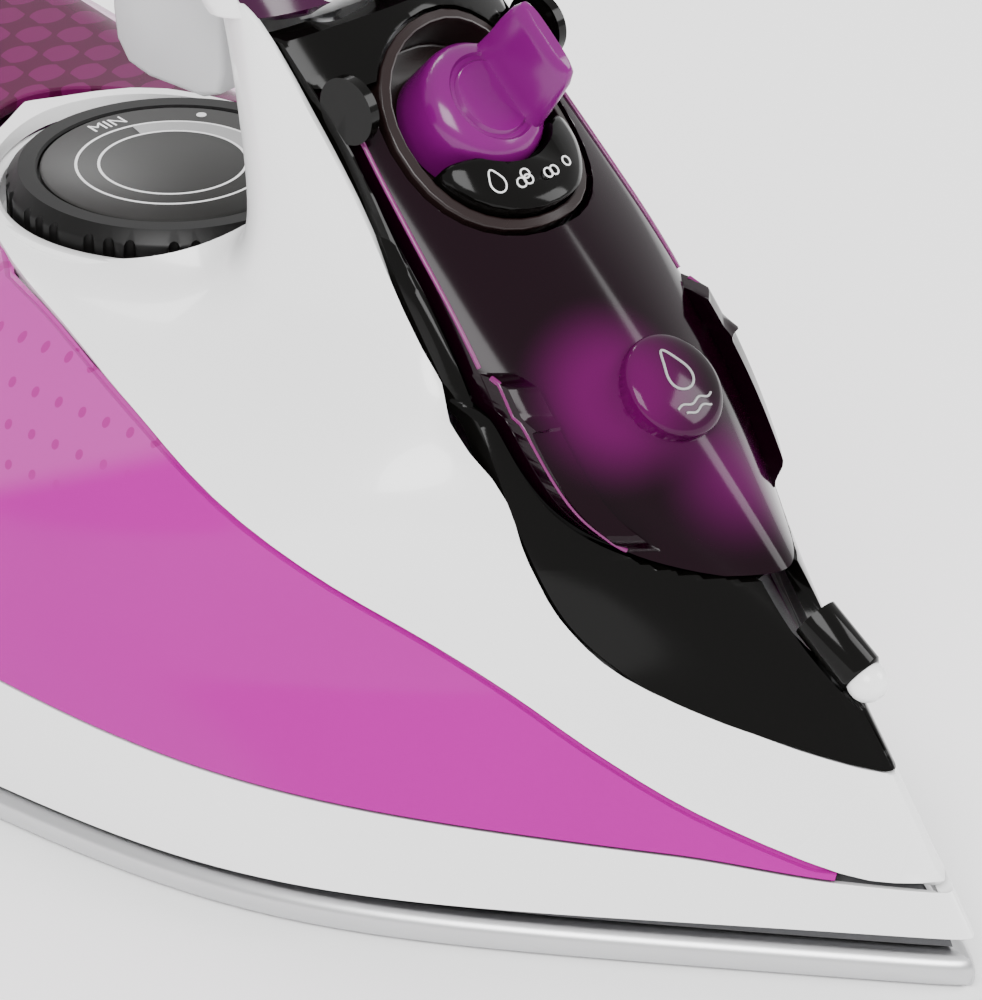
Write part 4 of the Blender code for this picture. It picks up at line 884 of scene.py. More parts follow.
def build_deck():
    columns, rows = 61, 50
    share = np.linspace(-1.0, 1.0, columns)
    grid = np.zeros((rows, columns, 3))
    for r, v in enumerate(np.linspace(0.0, 1.0, rows)):
        front = DECK_LINE[-1][0] + 1.2 - 26.0 * share ** 2
        d = front + (236.0 - front) * v
        edge = half_width(d, deck_edge(d) + 0.4) - 1.5 * GAP
        y = share * edge
        over = np.maximum(np.abs(y) - POST_HALF_WIDTH, 0.0) / (SOLE_HALF_WIDTH - POST_HALF_WIDTH)
        z = BODY_FLOOR + deck_rise(d) * np.sqrt(1.0 - over ** 2) + 1.7 * (1.0 - share ** 2)
        grid[r] = np.column_stack([d, y, z])
    done(soften(walled("deck_skin", grid, SHELL_WALL, inside=(200.0, 0.0, 40.0))), "dark_deck", "body",
         "rear_deck")


# ---------------------------------------------------------------- pieces: front
def build_cover():
    def reach(z):
        return np.maximum(cover_half_width(z) - GAP - 1.1 * smooth_step(z, 84.0, 98.0), 0.35)

    low = COVER_EDGE[0][0] + GAP
    grid = front_patch(low, COVER_TOP, reach, 71, 110, COVER_DROP, (51.4, 52.0, 52.6, 53.2, 53.8))
    for row in grid:
        z, whole, side = row[:, 2], reach(row[:, 2]), np.sign(row[:, 1])
        edge = np.minimum(np.maximum(lid_half_width(z), 0.6 * whole), np.maximum(whole - 0.45, 0.8 * whole))
        share = np.linspace(-1.0, 1.0, len(row))
        y = share * np.maximum(edge - 0.8, 0.8 * edge) / share[-4]
        for i, value in ((0, whole), (1, (whole + edge) / 2), (2, edge)):
            y[[i, -1 - i]] = (side * value)[[i, -1 - i]]
        row[:, 1] = y
        row[:, 0] = front_depth(y, z)
    deeper = lid_recess(grid[..., 1], grid[..., 2])
    cover = walled("cover_skin", grid, SHELL_WALL + deeper, inside=(120.0, 0.0, 60.0), proud=-deeper,
                   lean=1.0)
    hole = FILLER_RADIUS + GAP
    carve(cover, prism("pocket_window", LEVER, pocket_outline(), -24.0, 24.0),
          turned("neck_hole", [(0, 30), (hole, 30), (hole, -30), (0, -30)], FILLER.at(0, 0, 0), FILLER.axis),
          turned("nozzle_bore", [(0, 14), (3.8, 14), (3.8, -14), (0, -14)], (25.0, 0.0, 44.2), NOZZLE_AXIS))
    arc = [(HINGE[0] + 6.4 * math.cos(t), HINGE[1] + 6.4 * math.sin(t))
           for t in np.radians(np.linspace(3.0, -100.0, 20))]
    for side in (1, -1):
        travel = oval(BUTTON_HALF_LENGTH, BUTTON_HALF_WIDTH, 48, 0.55, (0.0, side * BUTTON_Y))
        carve(cover, prism("button_room", PRESS, travel, -15.8, 0.0),
              stacked("hinge_room", [[(d, side * y, z) for d, z in [HINGE] + arc] for y in (13.6, 17.35)]))
    for side in (1, -1):
        carve(cover, turned("knuckle", [(0, 19.8), (4.8, 19.8), (4.8, 18.3), (0, 18.3)],
                            (HINGE[0], 0.0, HINGE[1]), (0, side, 0), 48), operation="UNION")
    done(soften(cover, 0.25), "gloss_black", "body", "front_cover")


def build_nozzle():
    barrel = turned("nozzle_sleeve", [(0, 2.6), (1.9, 2.6), (2.1, 3.2), (2.9, 3.2), (3.3, 2.7), (3.3, -7.0),
                                      (0, -7.0)], (23.4, 0.0, 43.2), NOZZLE_AXIS)
    done(barrel, "gloss_black", "body", "nozzle_barrel")
    ball = [(0.45, 6.2), (0.6, 7.0)] + [(2.9 * math.sin(t), 4.3 + 2.9 * math.cos(t))
                                         for t in np.linspace(0.25, 2.3, 24)]
    tip = turned("nozzle_ball", [(0.0, 6.2)] + ball + [(1.6, 1.6), (0.0, 1.6)],
                 (23.4, 0.0, 43.2), NOZZLE_AXIS)
    done(tip, "white_shell", "body", "nozzle_tip")


def build_lid():
    def reach(z):
        return np.maximum(lid_half_width(z) - 1.15, 2.0)

    grid = front_patch(52.7, LID_TOP - 1.0, reach, 61, 110)
    lid = walled("lid_skin", grid, LID_WALL - 0.2, inside=(120.0, 0.0, 60.0), lean=1.0)
    carve(lid, prism("lid_ring", LEVER, pocket_outline(0.5), -24.0, 24.0))
    arms = [(85.0, 104.6), (112.0, 104.6), (112.0, 112.0), (85.0, 112.0)]
    carve(lid, stacked("lid_arms", [[(d, y, z) for d, z in arms] for y in (-14.3, 14.3)]))
    for side in (1, -1):
        z = np.linspace(56.0, 77.5, 40)
        share = np.linspace(0.0, 1.0, 7)
        y = side * ((lid_half_width(z) - 1.15 - 3.2)[:, None] + 3.1 * share[None, :])
        rise = 2.5 * smooth_step(z, 55.6, 59.0)[:, None] * (1.0 - smooth_step(z, 76.9, 77.9))[:, None]
        grid = np.stack([front_depth(y, z[:, None]), y, np.repeat(z[:, None], 7, axis=1)], axis=2)
        rail = walled("rail", grid, 0.6, inside=(120.0, 0.0, 60.0), proud=rise + 0.0 * y + 0.02, lean=1.0)
        carve(lid, rail, operation="UNION")
    boss = turned("boss", [(0, 2.9)] + [(BOSS_RADIUS * math.sin(t), 0.7 + 2.2 * math.cos(t))
                                         for t in np.linspace(0.1, math.pi / 2, 14)]
                  + [(BOSS_RADIUS, -PAD_DEPTH), (0, -PAD_DEPTH)], FILLER.at(0, 0, 0), FILLER.axis)
    carve(lid, boss, operation="UNION")
    for side in (1, -1):
        ear = turned("ear", [(0, 17.9), (1.9, 17.9), (2.4, 17.4), (2.4, 16.4), (1.9, 15.9), (0, 15.9)],
                     (HINGE[0], 0.0, HINGE[1]), (0, side, 0), 40)
        carve(lid, ear, operation="UNION")
    done(soften(lid, 0.3), "lid_purple", "lid", "fill_lid")
    build_painted_rim_highlights()


def tube(name, points, radius, sides=10, closed=False):
    """A round rod along (d, y, z) points."""
    path = bpy.data.curves.new(name, "CURVE")
    path.dimensions = "3D"
    path.bevel_depth = radius * MM
    path.bevel_resolution = sides // 4
    path.use_fill_caps = True
    line = path.splines.new("POLY")
    line.points.add(len(points) - 1)
    for point, spot in zip(line.points, points):
        point.co = (*place(*spot), 1.0)
    line.use_cyclic_u = closed
    rod = bpy.data.objects.new(name, path)
    bpy.context.scene.collection.objects.link(rod)
    activate(rod)
    bpy.ops.object.convert(target="MESH")
    rod = bpy.context.object
    rod.name = name
    bpy.ops.object.mode_set(mode="EDIT")
    bpy.ops.mesh.select_all(action="SELECT")
    bpy.ops.mesh.remove_doubles(threshold=1e-7)
    bpy.ops.mesh.normals_make_consistent(inside=False)
    bpy.ops.object.mode_set(mode="OBJECT")
    bpy.ops.object.shade_smooth_by_angle(angle=math.radians(60))
    return rod


def build_painted_rim_highlights():
    # Painted highlights: thin lighter tubes along the grips' crests and the lid's border stand in for the
    # light caught on the lid's edges.
    for side, name in ((1, "left"), (-1, "right")):
        heights = np.linspace(56.2, 77.4, 50)
        crest = [(float(front_depth(side * (float(lid_half_width(z)) - 1.5), z))
                  - 2.45 * float(smooth_step(z, 55.6, 59.0) * (1.0 - smooth_step(z, 76.9, 77.9))) - 0.1,
                  side * (float(lid_half_width(z)) - 1.5), float(z)) for z in heights]
        done(tube("lid_grip_highlight_line_" + name, crest, 0.42), "lid_purple", "lid", paint="painted_lid_highlight")
        heights = np.linspace(78.2, 103.6, 50)
        border = [(float(front_depth(side * (float(lid_half_width(z)) - 1.3), z)) - 0.12,
                   side * (float(lid_half_width(z)) - 1.3), float(z)) for z in heights]
        done(tube("lid_border_highlight_line_" + name, border, 0.36), "lid_purple", "lid", paint="painted_lid_highlight")
    build_fill_symbol()


def on_boss(s, y):
    """A point on the lid's boss, over its crown."""
    far = math.hypot(s, y) / BOSS_RADIUS
    return FILLER.at(s, y, 0.75 + 2.2 * math.sqrt(max(1.0 - far * far, 0.0)))


def build_fill_symbol():
    """A water drop over two short lines, raised on the lid's boss."""
    drop = []
    for t in np.linspace(0.0, 2 * math.pi, 40, endpoint=False):
        pull = 1.0 + 0.65 * max(math.cos(t), 0.0) ** 4
        drop.append(on_boss(0.9 + 2.4 * math.cos(t) * pull, 2.1 * math.sin(t) * (1.0 - 0.18 * math.cos(t))))
    done(tube("fill_drop", drop, 0.2, closed=True), "lid_purple", "lid", paint="print_grey")
    for i, s in enumerate((-3.4, -4.6)):
        wave = [on_boss(s + 0.25 * math.sin(1.9 * y), y) for y in np.linspace(-3.4 + i, 3.4 - i, 20)]
        done(tube("fill_wave_%d" % i, wave, 0.18), "lid_purple", "lid", paint="print_grey")


# ---------------------------------------------------------------- pieces: steam lever
def build_lever():
    outer, inner = pocket_outline(-FIT), pocket_outline(-FIT - 1.6)
    lip = [LEVER.at(s, y, LEVER.down_to_front(s, y) - 0.1) for s, y in outer]
    rim = [LEVER.at(s, y, LEVER.down_to_front(s, y) - 0.1) for s, y in inner]
    cup = stacked("pocket_skin", [[LEVER.at(s, y, -POCKET_DEPTH - 1.8) for s, y in outer], lip, rim,
                                  [LEVER.at(s, y, -POCKET_DEPTH) for s, y in inner]])
    carve(cup, turned("bore", [(0, 4), (3.5, 4), (3.5, -16), (0, -16)], LEVER.at(0, 0, 0), LEVER.axis))
    done(soften(cup, 0.3), "pocket_brown", "body", "lever_cup")
    low = -POCKET_DEPTH + FIT
    drum = turned("lever_drum", [(0, DRUM_RISE), (5.4, DRUM_RISE), (5.8, DRUM_RISE - 0.5),
                                 (6.4, DRUM_RISE - 0.5),
                                 (6.8, DRUM_RISE - 0.1), (7.8, DRUM_RISE - 0.5), (8.8, DRUM_RISE - 1.2),
                                 (9.4, DRUM_RISE - 2.2), (DRUM_RADIUS, DRUM_RISE - 3.2), (DRUM_RADIUS, low),
                                 (0, low)], LEVER.at(0, 0, 0), LEVER.axis)
    levels = [(DRUM_RISE - 2.5, 7.2, 2.2, 0.4, 4.2), (4.0, 7.0, 1.7, 0.8, 4.6), (7.0, 6.9, 1.6, 1.3, 5.0),
              (10.0, 6.6, 1.5, 1.7, 5.3), (11.6, 6.0, 1.3, 1.9, 5.4), (12.2, 5.0, 0.8, 1.9, 5.4)]
    loops = [[LEVER.at(s, y, h) for s, y in oval(half_s, half_y, 48, 0.62, (s0, y0))]
             for h, half_s, half_y, s0, y0 in levels]
    carve(drum, stacked("fin", loops), operation="UNION")
    done(soften(drum, 0.25), "lever_magenta", "lever", "steam_lever")


def build_icon_plate():
    points = oval(5.2, 12.4, 72, 0.75, (-12.9, 0.0))
    points = [(s + 0.035 * y * y, y) for s, y in points]
    loops = []
    for scale, rise in ((1.0, None), (1.0, 0.5), (0.97, 1.2), (0.90, 1.8), (0.78, 2.2), (0.55, 2.4)):
        ring = [(-11.8 + (s + 11.8) * scale, y * scale) for s, y in points]
        loops.append([LEVER.at(s, y, -POCKET_DEPTH + GAP if rise is None else
                               LEVER.down_to_front(s, y) + rise) for s, y in ring])
    plate = stacked("icon_dome", loops)
    carve(plate, turned("clear", [(0, 20), (DRUM_RADIUS + FIT, 20), (DRUM_RADIUS + FIT, -20), (0, -20)],
                        LEVER.at(0, 0, 0), LEVER.axis))
    inside = prism("inside", LEVER, pocket_outline(-FIT - 1.6 - GAP), -20.0, 20.0)
    carve(plate, inside, operation="INTERSECT")
    done(soften(plate, 0.25), "gloss_black", "body", "icon_plate")
    build_symbols()


def on_plate(s, y):
    """A point on the symbol plate's crown, a little proud of it."""
    return LEVER.at(s, y, LEVER.down_to_front(s, y) + 2.42)


def build_symbols():
    """A drop for cleaning, and one to three puffs for the steam settings."""
    def ring(name, s, y, radius):
        spots = [on_plate(s + radius * math.cos(t), y + radius * math.sin(t))
                 for t in np.linspace(0.0, 2 * math.pi, 20, endpoint=False)]
        done(tube(name, spots, 0.13, closed=True), "gloss_black", "body", paint="print_white")

    drop = [on_plate(-11.2 + 1.35 * math.cos(t) * (1.0 + 0.6 * max(math.cos(t), 0.0) ** 4),
                     -7.4 + 1.1 * math.sin(t)) for t in np.linspace(0.0, 2 * math.pi, 28, endpoint=False)]
    done(tube("symbol_drop", drop, 0.13, closed=True), "gloss_black", "body", paint="print_white")
    for k, (s, y, count) in enumerate(((-12.6, -3.0, 3), (-13.0, 1.2, 2), (-12.5, 5.0, 1))):
        for n in range(count):
            ring("symbol_puff_%d_%d" % (k, n), s + (0.9 if n == 2 else 0.0), y + 1.25 * (n - (count - 1) / 2)
                 if n < 2 else y, 0.7)


# ---------------------------------------------------------------- pieces: handle and buttons
def handle_patch(name, first, last, low, high, rows, columns, wall, closed=False, proud=0.0):
    if closed:
        grid = handle_grid(first, last, rows, 0.0, 360.0, columns + 1)[:, :-1]
        return walled(name, grid, wall, closed=True, inside=(200.0, 0.0, 134.0), proud=proud)
    grid = handle_grid(first, last, rows, low, high, columns)
    middle = (200.0, 0.0, 300.0) if low > 45.0 else (200.0, 0.0, 60.0)
    return walled(name, grid, wall, inside=middle, proud=proud)


def build_handle():
    seam = 0.9
    lower = handle_patch("handle_skin", SPLIT, GRIP_END - 0.02, TOP_ANGLE + seam, 360.0 - TOP_ANGLE - seam,
                         120, 70, HANDLE_WALL)
    done(soften(lower), "white_shell", "body", "handle_shell")
    grip = handle_patch("grip_skin", FRAME_END + 0.02, GRIP_END - 0.02, -TOP_ANGLE, TOP_ANGLE, 90, 60,
                        HANDLE_WALL)
    gland = [(0, 20), (7.2 + FIT, 20), (7.2 + FIT, -20), (0, -20)]
    carve(grip, turned("bore", gland, (GLAND_D, 0.0, GLAND_Z), GLAND_AXIS))
    done(soften(grip), "gloss_black", "body", "handle_top")
    frame_top = handle_patch("frame_skin", SPLIT, FRAME_END - 0.02, -TOP_ANGLE, TOP_ANGLE, 60, 70,
                             HANDLE_WALL)
    for side in (1, -1):
        points = oval(BUTTON_HALF_LENGTH, BUTTON_HALF_WIDTH, 64, 0.55, (0.0, side * BUTTON_Y))
        carve(frame_top, prism("opening", PRESS, points, -30.0, 30.0))
    carve(frame_top, turned("lens_bore", [(0, 8), (3.0 + GAP, 8), (3.0 + GAP, -8), (0, -8)], LENS_AT,
                            LENS_AXIS))
    done(soften(frame_top), "frame_purple", "body", "button_frame")
    column = handle_patch("heel_skin", GRIP_END + 0.02, 10.0, 0, 0, 60, 110, HANDLE_WALL, closed=True)
    carve(column, turned("bore", gland, (GLAND_D, 0.0, GLAND_Z), GLAND_AXIS))
    for side in (1, -1):
        box = solid_box("foot_hole", (9.8, 9.8, 16.0), FOOT_AT[side], REAR_AXIS)
        carve(column, box, turned("screw", [(0, 6), (3.5, 6), (3.5, -1.6), (1.8, -1.6), (1.8, -12), (0, -12)],
                                  SCREW_AT[side], REAR_AXIS))
    done(soften(column), "white_shell", "body", "heel_column")


def solid_box(name, size, centre, axis=(0, 0, 1)):
    deselect()
    bpy.ops.mesh.primitive_cube_add(size=1.0)
    piece = bpy.context.object
    piece.name = name
    piece.scale = Vector(size) * MM
    piece.rotation_mode = "QUATERNION"
    piece.rotation_quaternion = Vector((0, 0, 1)).rotation_difference(Vector(axis))
    piece.location = place(*centre)
    return put_in_place(piece)


def build_buttons():
    for side, name in ((1, "spray"), (-1, "steam")):
        cap = handle_patch(name + "_cap", 0.05, 2.25, 1.0 if side > 0 else -70.0, 70.0 if side > 0 else -1.0,
                           50, 40, 5.0, proud=1.2)
        points = oval(BUTTON_HALF_LENGTH - FIT, BUTTON_HALF_WIDTH - FIT, 64, 0.55, (0.0, side * BUTTON_Y))
        carve(cap, prism("outline", PRESS, points, -30.0, 30.0), operation="INTERSECT")
        stem = turned("stem", [(0, 122.0), (STEM_RADIUS + 1.4, 122.0), (STEM_RADIUS + 1.4, 117.2),
                               (STEM_RADIUS, 117.2), (STEM_RADIUS, 108.0), (0, 108.0)],
                      (PUMP_D, side * BUTTON_Y, 0.0), steps=40)
        carve(cap, stem, operation="UNION")
        done(soften(cap, 0.4), "white_shell", name, name + "_button")


def build_guard():
    line = np.array([(131.0, 116.0), (131.0, 99.0), (132.2, 95.6), (135.5, 94.2), (146.0, 94.2),
                     (150.2, 95.3),
                     (152.4, 98.4), (153.0, 103.0), (153.0, 118.5), (145.0, 116.2)])
    middle = np.array([142.0, 108.0])
    loops = []
    for y, shrink in ((-8.6, 1.3), (-8.3, 0.6), (-7.6, 0.2), (7.6, 0.2), (8.3, 0.6), (8.6, 1.3)):
        loop = middle + (line - middle) * (1.0 - shrink / 14.0)
        loops.append([(d, y, z) for d, z in loop])
    guard = stacked("guard_tab", loops)
    carve(guard, handle_patch("trim", 0.0, 6.0, TOP_ANGLE, 360.0 - TOP_ANGLE, 80, 40, 12.0, proud=GAP))
    done(soften(guard, 0.3), "light_grey", "body", "finger_guard")


# ---------------------------------------------------------------- pieces: dial
def build_dial():
    low = DIAL_TOP - DIAL_HEIGHT
    ring = turned("dial_knob", [(0, DIAL_TOP - FACE_DEPTH), (FACE_RADIUS + GAP, DIAL_TOP - FACE_DEPTH),
                                (FACE_RADIUS + GAP, DIAL_TOP - 0.3), (FACE_RADIUS + 0.7, DIAL_TOP),
                                (DIAL_RADIUS - 1.8, DIAL_TOP), (DIAL_RADIUS - 0.3, DIAL_TOP - 1.5),
                                (DIAL_RADIUS, DIAL_TOP - 2.0), (DIAL_RADIUS, low + 0.3),
                                (DIAL_RADIUS - 0.3, low), (0, low)], (DIAL_D, 0.0, 0.0), steps=180)
    grooves = bmesh.new()
    for i in range(48):
        if i % 4 == 3:
            continue
        angle = math.radians(7.5 * i)
        spot = place(DIAL_D + math.cos(angle) * (DIAL_RADIUS + 0.25),
                     math.sin(angle) * (DIAL_RADIUS + 0.25), low + DIAL_HEIGHT * 0.58)
        stretch = Matrix.Diagonal((1.0, 1.0, 4.0, 1.0))
        bmesh.ops.create_uvsphere(grooves, u_segments=14, v_segments=10, radius=0.95 * MM,
                                  matrix=Matrix.Translation(spot) @ stretch)
    carve(ring, solid("grooves", grooves))
    activate(ring)
    bpy.ops.object.shade_smooth_by_angle(angle=math.radians(35))
    done(ring, "gloss_black", "dial", "dial_ring", paint="dial_ring")
    face = turned("dial_plate", [(0, DIAL_TOP), (FACE_RADIUS - 0.4, DIAL_TOP), (FACE_RADIUS, DIAL_TOP - 0.3),
                                 (FACE_RADIUS, DIAL_TOP - FACE_DEPTH + GAP),
                                 (0, DIAL_TOP - FACE_DEPTH + GAP)],
                  (DIAL_D, 0.0, 0.0), steps=120)
    done(face, "dial_face", "dial", "dial_face")


def arc_band(name, inner, outer, start, end, paint, steps=60):
    """A flat printed arc on the dial, from start to end in degrees."""
    top, low = DIAL_TOP + 0.05, DIAL_TOP - 0.05
    whole = end - start >= 360.0
    angles = [math.radians(start + (end - start) * i / steps) for i in range(steps + (0 if whole else 1))]
    bm = bmesh.new()
    rings = [[bm.verts.new(place(DIAL_D + r * math.cos(t), r * math.sin(t), z)) for r, z in
              ((inner, low), (outer, low), (outer, top), (inner, top))] for t in angles]
    count = len(rings)
    for i in range(count if whole else count - 1):
        a, b = rings[i], rings[(i + 1) % count]
        for k in range(4):
            m = (k + 1) % 4
            bm.faces.new((a[k], a[m], b[m], b[k]))
    if not whole:
        bm.faces.new(rings[0])
        bm.faces.new(rings[-1][::-1])
    return done(solid(name, bm), "dial_face", "dial", paint=paint)


def build_dial_print():
    arc_band("print_circle_out", 13.8, 14.2, 0.0, 360.0, "print_white", 96)
    arc_band("print_circle_in", 10.5, 10.9, 0.0, 360.0, "print_white", 96)
    arc_band("print_heat_band", 10.9, 13.8, 20.0, 150.0, "print_grey")
    for k, angle in enumerate((60.0, 95.0, 130.0)):
        for n in range(k + 1):
            t = math.radians(angle + 7.0 * (n - k / 2))
            dot = turned("print_dot_%d_%d" % (k, n), [(0, DIAL_TOP + 0.07), (0.75, DIAL_TOP + 0.07),
                                                      (0.75, DIAL_TOP - 0.05), (0, DIAL_TOP - 0.05)],
                         (DIAL_D + 16.6 * math.cos(t), 16.6 * math.sin(t), 0.0), steps=20)
            done(dot, "dial_face", "dial", paint="print_white")
    for text, angle in (("MIN", 10.0), ("MAX", 160.0)):
        t = math.radians(angle)
        deselect()
        spot = place(DIAL_D + 16.4 * math.cos(t), 16.4 * math.sin(t), DIAL_TOP - 0.04)
        bpy.ops.object.text_add(location=spot)
        word = bpy.context.object
        word.data.body = text
        word.data.size = 3.4 * MM
        word.data.extrude = 0.06 * MM
        word.data.align_x, word.data.align_y = "CENTER", "CENTER"
        word.rotation_euler = (0.0, 0.0, math.pi / 2 - t)
        activate(word)
        bpy.ops.object.convert(target="MESH")
        word = bpy.context.object
        word.name = "print_" + text
        put_in_place(word)
        done(word, "dial_face", "dial", paint="print_white")


# ---------------------------------------------------------------- pieces: rear
def build_rear():
    gland = turned("gland_sleeve", [(4.2, 11.0), (4.7, 11.5), (5.3, 11.5), (5.9, 11.0), (6.2, 9.4),
                                    (6.0, 9.0),
                                    (6.5, 8.6), (6.3, 7.0), (6.8, 6.6), (6.6, 5.0), (7.2, 4.6), (7.2, -6.0),
                                    (9.4, -6.0), (9.4, -8.0), (4.2, -8.0)],
                   (GLAND_D, 0.0, GLAND_Z), GLAND_AXIS)
    done(gland, "gloss_black", "gland", "cord_gland")
    for side, name in ((1, "left"), (-1, "right")):
        screw = turned("screw_" + name, [(0, 0.6), (2.2, 0.6), (2.8, 0.2), (3.0, -0.2), (3.0, -1.2),
                                         (1.4, -1.2),
                                         (1.4, -9.0), (0, -9.0)], SCREW_AT[side], REAR_AXIS, 48)
        for turn in (0.0, 90.0):
            bar = solid_box("slot", (0.8, 3.2, 1.6), (0, 0, 0), (0, 0, 1))
            matrix = (Matrix.Translation(place(*SCREW_AT[side])) @ Vector((0, 0, 1)).rotation_difference(
                Vector(REAR_AXIS)).to_matrix().to_4x4() @ Matrix.Rotation(math.radians(turn), 4, "Z")
                @ Matrix.Translation(Vector((0, 0, 0.6)) * MM) @ Matrix.Translation(-place(0, 0, 0)))
            bar.data.transform(matrix)
            carve(screw, bar)
        done(screw, "steel", "body", "heel_screw_" + name)
        foot = solid_box("foot_" + name, (9.0, 9.0, 5.2), FOOT_AT[side], REAR_AXIS)
        apply(foot, "Round", "BEVEL", width=1.2 * MM, segments=4)
        done(foot, "rubber", "body", "heel_foot_" + name)
    lens = turned("lens_cap", [(0, 1.4), (1.0, 1.3), (2.0, 0.95), (2.7, 0.4), (3.0, -0.2), (3.0, -4.0),
                               (0, -4.0)],
                  LENS_AT, LENS_AXIS, 48)
    done(lens, "lens", "body", "indicator_lens")


def paint_frame_nodes():
    """The inner pieces stay as they are in the frame, with finishes of their own."""
    slots = {row["node"]: row["material_slot"] for row in frame["record"]["subparts"]}
    for name, node in frame["nodes"].items():
        for patch in node.material_slots:
            patch.material = FINISHES.get(slots.get(name), FINISHES["white_shell"])


# ---------------------------------------------------------------- stage
def build_stage(stage):
    deselect()
    bpy.ops.mesh.primitive_plane_add(size=6.0, location=(0.0, 0.0, 0.0))
    floor = bpy.context.object
    floor.name = "floor"
    put_in_place(floor)
    pale = bpy.data.materials.new("Pale floor")
    pale.use_nodes = True
    pale.node_tree.nodes["Principled BSDF"].inputs["Base Color"].default_value = (*stage.floor, 1.0)
    pale.node_tree.nodes["Principled BSDF"].inputs["Roughness"].default_value = 0.85
    floor.data.materials.append(pale)
    world = bpy.data.worlds.new("Studio") if not bpy.context.scene.world else bpy.context.scene.world
    bpy.context.scene.world = world
    world.use_nodes = True
    background = world.node_tree.nodes["Background"]
    background.inputs["Color"].default_value = (1.0, 1.0, 1.0, 1.0)
    background.inputs["Strength"].default_value = stage.sky
    for name, spot, size, power in (("key", (0.9, -1.3, 1.6), 1.2, stage.key),
                                    ("fill", (1.4, 1.3, 1.0), 1.0, stage.key * 0.45),
                                    ("back", (-1.6, 0.5, 1.3), 1.0, stage.key * 0.55)):
        light = bpy.data.lights.new(name, "AREA")
        light.shape = "SQUARE"
        light.size = size
        light.energy = power
        lamp = bpy.data.objects.new(name, light)
        bpy.context.scene.collection.objects.link(lamp)
        lamp.location = spot
        lamp.rotation_euler = (-Vector(spot) + Vector((0, 0, 0.06))).to_track_quat("-Z", "Y").to_euler()
    camera = bpy.data.cameras.new("camera")
    camera.lens = stage.lens
    camera.sensor_width = 36.0
    camera.clip_end = 20.0
    eye = bpy.data.objects.new("camera", camera)
    bpy.context.scene.collection.objects.link(eye)
    eye.location = (NOSE_X * MM + 0.4128, -0.5563, 0.4486)
    eye.rotation_euler = Vector((-0.5886, 0.6537, -0.4756)).to_track_quat("-Z", "Y").to_euler()
    bpy.context.scene.camera = eye


# ---------------------------------------------------------------- add-on
def colour(name, description, default):
    return bpy.props.FloatVectorProperty(name=name, description=description, default=default, size=3,
                                         min=0.0, max=1.0, subtype="COLOR")


class IronColours(bpy.types.PropertyGroup):
    white: colour("White", "Shell, skirt and handle", (0.88, 0.88, 0.88))
    tank: colour("Tank", "Water tank", (0.34, 0.0, 0.235))
    deck: colour("Deck", "Panel under the handle", (0.062, 0.0, 0.028))
    lid: colour("Lid", "Fill lid", (0.0045, 0.0, 0.0022))
    lever: colour("Lever", "Steam lever", (0.125, 0.0, 0.105))
    frame: colour("Frame", "Panel round the buttons", (0.028, 0.0, 0.020))


class IronStage(bpy.types.PropertyGroup):
    floor: colour("Floor", "Colour of the floor", (0.95, 0.95, 0.95))
    sky: bpy.props.FloatProperty(name="Sky", description="Strength of the light from all round",
                                 default=1.05, min=0.0)
    key: bpy.props.FloatProperty(name="Key light", description="Power of the main lamp", default=62.0,
                                 min=0.0, unit="POWER")
    lens: bpy.props.FloatProperty(name="Lens", description="Focal length", default=217.08, min=10.0,
                                  subtype="DISTANCE_CAMERA", unit="CAMERA")


class IRON_OT_stage(bpy.types.Operator):
    """Add the floor, the lights and the camera"""
    bl_idname = "iron.stage"
    bl_label = "Stage"

    def execute(self, context):
        build_stage(context.scene.iron_stage)
        return {"FINISHED"}


class IRON_OT_finishes(bpy.types.Operator):
    """Make the materials and give the inner pieces theirs"""
    bl_idname = "iron.finishes"
    bl_label = "Finishes"

    def execute(self, context):
        global SURFACE, DOTS, FINISHES
        SURFACE, DOTS = make_surface_group(), make_dots_group()
        FINISHES = make_finishes(context.scene.iron_colours)
        add_prints_and_painted_light(FINISHES)
        paint_frame_nodes()
        return {"FINISHED"}


class IRON_OT_sole(bpy.types.Operator):
    """Build the soleplate"""
    bl_idname = "iron.sole"
    bl_label = "Soleplate"

    def execute(self, context):
        build_sole()
        return {"FINISHED"}


class IRON_OT_lower_body(bpy.types.Operator):
    """Build the skirt and the water tank"""
    bl_idname = "iron.lower_body"
    bl_label = "Lower body"

    def execute(self, context):
        build_lower_body()
        return {"FINISHED"}


class IRON_OT_shell(bpy.types.Operator):
    """Build the white shell and the dial's well"""
    bl_idname = "iron.shell"
    bl_label = "Shell"

    def execute(self, context):
        build_shell()
        return {"FINISHED"}


class IRON_OT_deck(bpy.types.Operator):
    """Build the panel under the handle"""
    bl_idname = "iron.deck"
    bl_label = "Deck"

    def execute(self, context):
        build_deck()
        return {"FINISHED"}


class IRON_OT_cover(bpy.types.Operator):
    """Build the front cover"""
    bl_idname = "iron.cover"
    bl_label = "Front cover"

    def execute(self, context):
        build_cover()
        return {"FINISHED"}


class IRON_OT_nozzle(bpy.types.Operator):
    """Build the spray nozzle"""
    bl_idname = "iron.nozzle"
    bl_label = "Spray nozzle"

    def execute(self, context):
        build_nozzle()
        return {"FINISHED"}


class IRON_OT_lid(bpy.types.Operator):
    """Build the fill lid"""
    bl_idname = "iron.lid"
    bl_label = "Fill lid"

    def execute(self, context):
        build_lid()
        return {"FINISHED"}


class IRON_OT_lever(bpy.types.Operator):
    """Build the steam lever and its pocket"""
    bl_idname = "iron.lever"
    bl_label = "Steam lever"

    def execute(self, context):
        build_lever()
        return {"FINISHED"}


class IRON_OT_symbols(bpy.types.Operator):
    """Build the symbol plate and its symbols"""
    bl_idname = "iron.symbols"
    bl_label = "Symbols"

    def execute(self, context):
        build_icon_plate()
        return {"FINISHED"}


class IRON_OT_handle(bpy.types.Operator):
    """Build the handle"""
    bl_idname = "iron.handle"
    bl_label = "Handle"

    def execute(self, context):
        build_handle()
        return {"FINISHED"}


